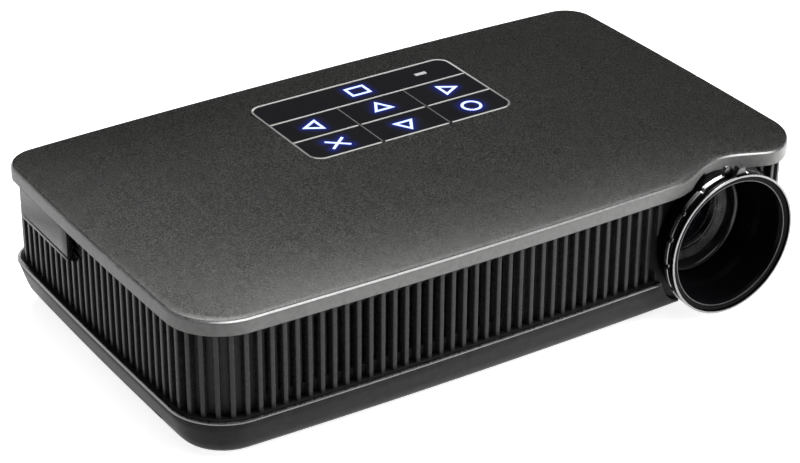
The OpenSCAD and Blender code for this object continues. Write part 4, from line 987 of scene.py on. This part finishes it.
def focus_ring_meshes():
    """Hood that widens to its rim, notched flange, and the lever with its lug."""
    hood = turned("hood", eased([
        (RIM_R - RIM_LIP, RING_Y), (RIM_R, RING_Y), (RIM_R, GRIP_Y), (GRIP_R, GRIP_Y),
        (GRIP_R, FLANGE_Y + 0.2), (NECK_R, FLANGE_Y + 0.3), (NECK_R, NECK_END_Y), (SLEEVE_R, NECK_END_Y),
        (SLEEVE_R, SLEEVE_END_Y), (SLEEVE_R - SLEEVE_WALL, SLEEVE_END_Y),
        (SLEEVE_R - SLEEVE_WALL, NECK_END_Y + 0.4), (NECK_R - 0.8, NECK_END_Y - 0.6),
        (GRIP_R - 0.9, GRIP_Y + 0.5), (GRIP_R - 0.5, GRIP_Y - 0.2), (RIM_R - RIM_LIP, GRIP_Y - 0.35),
    ], 0.1))
    foot, tall = GRIP_R - 0.4, GRIP_R + 2.1
    lever = standing("lever", [(-1.6, foot), (1.6, foot), (0.7, tall - 0.2), (0.5, tall), (-0.5, tall),
                               (-0.7, tall - 0.2)], FLANGE_Y - 1.15, FLANGE_Y + 0.1, 5)
    head = [(0.9 * math.cos(math.radians(a)), FLANGE_R + 0.6 + 0.9 * math.sin(math.radians(a)))
            for a in range(0, 181, 15)]
    lug = standing("lug", [(-0.9, FLANGE_R - 1), (0.9, FLANGE_R - 1)] + head,
                   SLEEVE_Y - 0.8, SLEEVE_Y, -3)
    return smooth(hood, 35), smooth(flange_mesh(), 35), smooth(joined("lever", lever, lug), 35)


def edge_line(name, r, y, width):
    """Thin bright metal ring on an edge of the hood, a painted highlight along that edge."""
    profile = [(r - width, y), (r, y), (r, y + LINE_DEPTH), (r - width, y + LINE_DEPTH)]
    return smooth(turned(name, eased(profile, 0.05)), 35)


hood, flange, lever = focus_ring_meshes()
piece("focus_hood", hood, "focus_ring", "ring_black", ["focus_ring"])
piece("focus_flange", flange, "focus_ring", "flange_satin")
piece("focus_lever", lever, "focus_ring", "lever_satin_and_ledge_highlight")
# The rim and ledge lines are bright metal rings that paint the highlights of the hood's edges; the ledge
# line wears the lever's satin metal
for name, finish, sizes in (("rim_line", "rim_highlight_metal", (RIM_R + 0.02, RING_Y - 0.02, 0.35)),
                            ("ledge_line", "lever_satin_and_ledge_highlight", (GRIP_R - 0.38, GRIP_Y - 0.3, 0.16))):
    piece(name, edge_line(name, *sizes), "focus_ring", finish)
refined("lens_barrel", "barrel_black")

GLASS_Y = RING_Y + 12.6
BAFFLE_R = 8.27
BAFFLE_HOLE_R = 6.4
BAFFLE_STEPS = 5
BAFFLE_RIM = 0.3
BAFFLE_FLOOR = 0.12


def baffle_mesh():
    """Retaining ring with steps that narrow towards the glass."""
    front, back, first = GLASS_Y - 0.9, GLASS_Y - 0.02, BAFFLE_R - BAFFLE_RIM
    fall = (back - front - BAFFLE_FLOOR) / (BAFFLE_STEPS - 1)
    profile = [(BAFFLE_R, back), (BAFFLE_R, front)]
    for i in range(BAFFLE_STEPS):
        r = first - (first - BAFFLE_HOLE_R) * i / BAFFLE_STEPS
        profile += [(r, front + fall * k) for k in (i, i + 1) if k < BAFFLE_STEPS]
    profile += [(BAFFLE_HOLE_R, back - BAFFLE_FLOOR), (BAFFLE_HOLE_R, back)]
    return smooth(turned("baffle", eased(profile, 0.05, 2)), 25)


piece("baffle_ring", baffle_mesh(), "lens_barrel", "barrel_satin", ["retaining_ring"])
refined("front_lens", "lens_glass")

# ---- Lines printed on the touch panel ----

BORDER_IN = 0.05
BORDER_W = 0.42
ROW_W = 0.36
COLUMN_W = 0.22
LINE_BREAK = 0.75
PRINT_H = 0.06
COLUMNS = [PANEL_X + CELL_W, PANEL_X + 2 * CELL_W]
ROWS = [PANEL_Y + CELL_D, PANEL_Y + 2 * CELL_D]
# How bright the lines are, from painted shade to painted highlight
ROW_SHINE = 0.9
SHADED_SHINE = 0.25
COLUMN_SHINE = 0.05


def panel_corners(inset):
    """Four rounded corners of the panel, from the front right one onwards."""
    x0, x1 = PANEL_X + PANEL_R, PANEL_X + PANEL_W - PANEL_R
    y0, y1 = PANEL_Y + PANEL_R, PANEL_Y + PANEL_D - PANEL_R
    corners = ((x1, y0, -90), (x1, y1, 0), (x0, y1, 90), (x0, y0, 180))
    return [point for x, y, start in corners for point in quarter(x, y, PANEL_R - inset, start, 12)]


def ribbon(outer, inner, shine):
    """Thin printed strip between two chains of points, with a brightness for each pair."""
    points, faces = [], []
    for z in (PANEL_TOP_Z, PANEL_TOP_Z + PRINT_H):
        points += level(outer, z) + level(inner, z)
    n = len(outer)
    up = 2 * n
    for i in range(n - 1):
        a, b, c, d = i, i + 1, n + i + 1, n + i
        faces += [(a, d, c, b), (a + up, b + up, c + up, d + up)]
        faces += [(a, b, b + up, a + up), (c, d, d + up, c + up)]
    faces += [(0, up, up + n, n), (n - 1, up - 1, up + up - 1, up + n - 1)]
    mesh = outward(mesh_from("line", points, faces))
    values = []
    for vertex in mesh.vertices:
        here = (vertex.co.x / MM, vertex.co.y / MM - FRAME_Y)
        near = min(range(n), key=lambda i: math.dist(outer[i], here) + math.dist(inner[i], here))
        values.append(shine[near])
    mesh.attributes.new("shine", "FLOAT", "POINT").data.foreach_set("value", values)
    return mesh


def straight_line(x0, y0, x1, y1, width, shine):
    along = Vector((x1 - x0, y1 - y0)).normalized() * width / 2
    side = Vector((-along.y, along.x))
    ends = [Vector((x0, y0)), Vector((x1, y1))]
    return ribbon([tuple(p + side) for p in ends], [tuple(p - side) for p in ends], [shine, shine])


def panel_lines_mesh():
    """Border, broken at the middle of its front, and the lines between the keys."""
    left, right = PANEL_X + BORDER_W, PANEL_X + PANEL_W - BORDER_W
    first, last = COLUMNS[0] - LINE_BREAK / 2, COLUMNS[1] + LINE_BREAK / 2
    outer, inner = [[(last, PANEL_Y + inset)] + panel_corners(inset) + [(first, PANEL_Y + inset)]
                    for inset in (BORDER_IN, BORDER_W)]
    # The left border and the front right corner catch less light
    shine = [SHADED_SHINE if x < PANEL_X + 1 and PANEL_Y + 1.5 < y < PANEL_Y + PANEL_D - 1.5
             or x > right - 1.5 and y < PANEL_Y + 3 else 1 for x, y in inner]
    lines = [ribbon(outer, inner, shine)]
    front = PANEL_Y + (BORDER_W + BORDER_IN) / 2
    stops = [left, right]
    for column in COLUMNS:
        stops += [column - LINE_BREAK / 2, column + LINE_BREAK / 2]
    stops.sort()
    lines.append(straight_line(stops[2], front, stops[3], front, BORDER_W - BORDER_IN, 1))
    lines.append(straight_line(left, ROWS[1], right, ROWS[1], ROW_W, ROW_SHINE))
    for start, end in zip(stops[::2], stops[1::2]):
        lines.append(straight_line(start, ROWS[0], end, ROWS[0], ROW_W, ROW_SHINE))
    start, end = PANEL_Y + BORDER_W, ROWS[1] - ROW_W / 2
    for x in COLUMNS:
        lines.append(straight_line(x, start, x, end, COLUMN_W, COLUMN_SHINE))
    return joined("panel_lines", *lines)


piece("panel_lines", panel_lines_mesh(), "case", "panel_line", ["panel_trim"])

# ---- Light of the key signs under the panel glass ----

STROKE_HALF = 0.25
SIGN_W = 1.05 * SYMBOL_R - STROKE_HALF
SIGN_D = 0.875 * SYMBOL_R - STROKE_HALF
CROSS_HALF = 1.2 * SYMBOL_R
HALO_REACH = 3.4
HALO_STEPS = 44
HALO_SIDES = (0.002, 0.012)
HALO_FROM = 0.2
HALO_FADE = 0.75
HALO_CURVE = 1.6


def segment_distance(p, a, b):
    along = (b - a).dot(p - a) / max((b - a).length_squared, 1e-12)
    return (p - a - (b - a) * min(max(along, 0), 1)).length


def closed_path(points):
    return [(Vector(points[i]), Vector(points[(i + 1) % len(points)])) for i in range(len(points))]


def regular(corners, r, start=0):
    """Strokes through equally spaced points on a circle."""
    turns = [math.radians(start) + t for t in full_turn(corners)]
    return closed_path([(r * math.cos(t), r * math.sin(t)) for t in turns])


def triangle(start):
    return regular(3, 1.25 * SYMBOL_R - 2 * STROKE_HALF, start)


def cross():
    """Two strokes that cross."""
    tips = [Vector((math.cos(math.radians(turn)), math.sin(math.radians(turn)))) * CROSS_HALF
            for turn in (40, -40)]
    return [(-tip, tip) for tip in tips]


# Strokes of each sign, by its column and row on the panel
SIGNS = {
    (1, 2): closed_path([(-SIGN_W, -SIGN_D), (SIGN_W, -SIGN_D), (SIGN_W, SIGN_D), (-SIGN_W, SIGN_D)]),
    (0, 1): triangle(180),
    (1, 1): triangle(90),
    (2, 1): triangle(0),
    (1, 0): triangle(270),
    (0, 0): cross(),
    (2, 0): regular(36, SYMBOL_R - STROKE_HALF),
}


def halo_mesh():
    """Thin glowing plate round each sign, brightest along its strokes."""
    points, faces, glow = [], [], []
    side = HALO_STEPS + 1
    flat = side * side
    for (column, row), strokes in SIGNS.items():
        cx, cy = PANEL_X + (column + 0.5) * CELL_W, PANEL_Y + (row + 0.5) * CELL_D
        base = len(points)
        offsets = [HALO_REACH * (2 * i / HALO_STEPS - 1) for i in range(side)]
        for z in HALO_SIDES:
            for p in [Vector((x, y)) for y in offsets for x in offsets]:
                near = min(segment_distance(p, a, b) for a, b in strokes)
                points.append((cx + p.x, cy + p.y, PANEL_TOP_Z + z))
                glow.append(math.exp(-(max(near - HALO_FROM, 0) / HALO_FADE) ** HALO_CURVE))
        for a in [base + j * side + i for j in range(HALO_STEPS) for i in range(HALO_STEPS)]:
            faces.append((a, a + side, a + side + 1, a + 1))
            faces.append((a + flat, a + flat + 1, a + flat + side + 1, a + flat + side))
        steps = range(HALO_STEPS)
        border = ([i for i in steps] + [HALO_STEPS + i * side for i in steps]
                  + [flat - 1 - i for i in steps] + [(HALO_STEPS - i) * side for i in steps])
        for k, start in enumerate(border):
            a, b = base + start, base + border[(k + 1) % len(border)]
            faces.append((a, b, b + flat, a + flat))
    mesh = mesh_from("sign_halo", points, faces)
    mesh.attributes.new("glow", "FLOAT", "POINT").data.foreach_set("value", glow)
    return mesh


piece("sign_halo", halo_mesh(), "case", "halo_light")

# ---- Camera, floor and light ----

# View fitted to the case edges in the photo: degrees, millimetres, pixels
VIEW_TURN = -33.017
VIEW_TILT = 28.862
VIEW_ROLL = 0.402
VIEW_TARGET = (-7.395, -7.406, 16.4)
VIEW_DISTANCE = 404.41
VIEW_FOCAL = 2428.8
PHOTO_W = 800
SENSOR_W = 36

FLOOR_HALF = 4
FLOOR_Z = -0.0002
FLOOR_TONE = (0.75, 0.75, 0.75)
FLOOR_LIFT = 0.85
ROOM_LEVEL = 0.04
BACKDROP_FROM = 0.02
BACKDROP_TO = 0.12
LAMP_TARGET = Vector((0, 0, 0.015))
# Name: azimuth from the front towards the right, elevation, distance in metres; width and height in
# metres; watts; whether gloss mirrors it. The strips behind and above make the sheen on the lid and
# its bright edge, and the two fill lamps aren't mirrored, so that the lid shows no glare from behind.
LAMPS = {
    "back_strip": (147, 44, 1.0, (0.7, 0.1), 3.4, True),
    "top_strip": (147, 62, 1.0, (0.7, 0.2), 1.3, True),
    "front_right": (68, 22, 0.4, (0.45, 0.35), 4.2, False),
    "left": (-110, 12, 0.4, (0.3, 0.15), 0.3, False),
    "corner_strip": (158, 50, 1.0, (0.2, 0.12), 2.4, True),
    "front_top": (5, 56, 1.0, (0.9, 0.4), 3.6, True),
}


def direction(azimuth, elevation):
    """Unit vector from the object, by degrees from the front towards the right and up."""
    turn, lift = math.radians(azimuth), math.radians(elevation)
    return Vector((math.sin(turn) * math.cos(lift), -math.cos(turn) * math.cos(lift), math.sin(lift)))


def camera():
    turn, roll = math.radians(VIEW_TURN), math.radians(VIEW_ROLL)
    back = direction(VIEW_TURN, VIEW_TILT)
    level_x = Vector((math.cos(turn), math.sin(turn), 0))
    level_y = back.cross(level_x)
    right = level_x * math.cos(roll) + level_y * math.sin(roll)
    up = level_y * math.cos(roll) - level_x * math.sin(roll)
    spot = (Vector(VIEW_TARGET) + back * VIEW_DISTANCE) * MM
    data = bpy.data.cameras.new("camera")
    data.sensor_width = SENSOR_W
    data.lens = VIEW_FOCAL / PHOTO_W * SENSOR_W
    data.clip_start = 0.01
    data.clip_end = 20
    eye = placed("camera", data)
    eye.matrix_world = Matrix([(right[i], up[i], back[i], spot[i]) for i in range(3)] + [(0, 0, 0, 1)])
    bpy.context.scene.camera = eye


def seen_share(tree):
    """1 for rays that show the background: camera, glossy and transmission rays."""
    ray = tree.nodes.new("ShaderNodeLightPath").outputs
    direct = worked_out(tree, "MAXIMUM", ray["Is Camera Ray"], ray["Is Glossy Ray"])
    return worked_out(tree, "MAXIMUM", direct, ray["Is Transmission Ray"])


def floor():
    """Pale floor that shows as white and keeps the object's shadow."""
    mesh = bpy.data.meshes.new("floor")
    corners = [(FLOOR_HALF * x, FLOOR_HALF * y, 0) for x, y in ((-1, -1), (1, -1), (1, 1), (-1, 1))]
    mesh.from_pydata(corners, [], [(0, 1, 2, 3)])
    ground = placed("floor", mesh)
    ground.location.z = FLOOR_Z
    pale = Finish("floor_white", FLOOR_TONE, 0.9, Emission_Color=(1, 1, 1, 1))
    pale.put("Emission Strength", worked_out(pale.tree, "MULTIPLY", seen_share(pale.tree), FLOOR_LIFT))
    mesh.materials.append(pale.material)


def world():
    """Dim room for the object, with a white backdrop at the horizon that gloss and glass see too."""
    sky = bpy.data.worlds.new("studio")
    bpy.context.scene.world = sky
    sky.use_nodes = True
    tree = sky.node_tree
    background = tree.nodes["Background"].inputs
    background["Color"].default_value = (1, 1, 1, 1)
    heading = tree.nodes.new("ShaderNodeTexCoord").outputs["Generated"]
    height = wired(tree, "ShaderNodeSeparateXYZ", {0: heading}).outputs["Z"]
    backdrop = ranged(tree, height, 1.0, 0.0, BACKDROP_FROM, BACKDROP_TO)
    gloss = worked_out(tree, "MULTIPLY", backdrop, seen_share(tree))
    eye = tree.nodes.new("ShaderNodeLightPath").outputs["Is Camera Ray"]
    share = worked_out(tree, "MAXIMUM", gloss, eye)
    tree.links.new(ranged(tree, share, ROOM_LEVEL, 1.0), background["Strength"])


def lamp(name, azimuth, elevation, distance, size, power, mirrored):
    """Lamp that faces the object."""
    data = bpy.data.lights.new(name, "AREA")
    data.shape = "RECTANGLE"
    data.size, data.size_y = size
    data.energy = power
    light = placed(name, data)
    light.location = direction(azimuth, elevation) * distance
    light.visible_glossy = mirrored
    light.rotation_euler = (LAMP_TARGET - light.location).to_track_quat("-Z", "Y").to_euler()


bpy.context.scene.view_settings.view_transform = "Standard"
camera()
floor()
world()
for name, values in LAMPS.items():
    lamp(name, *values)
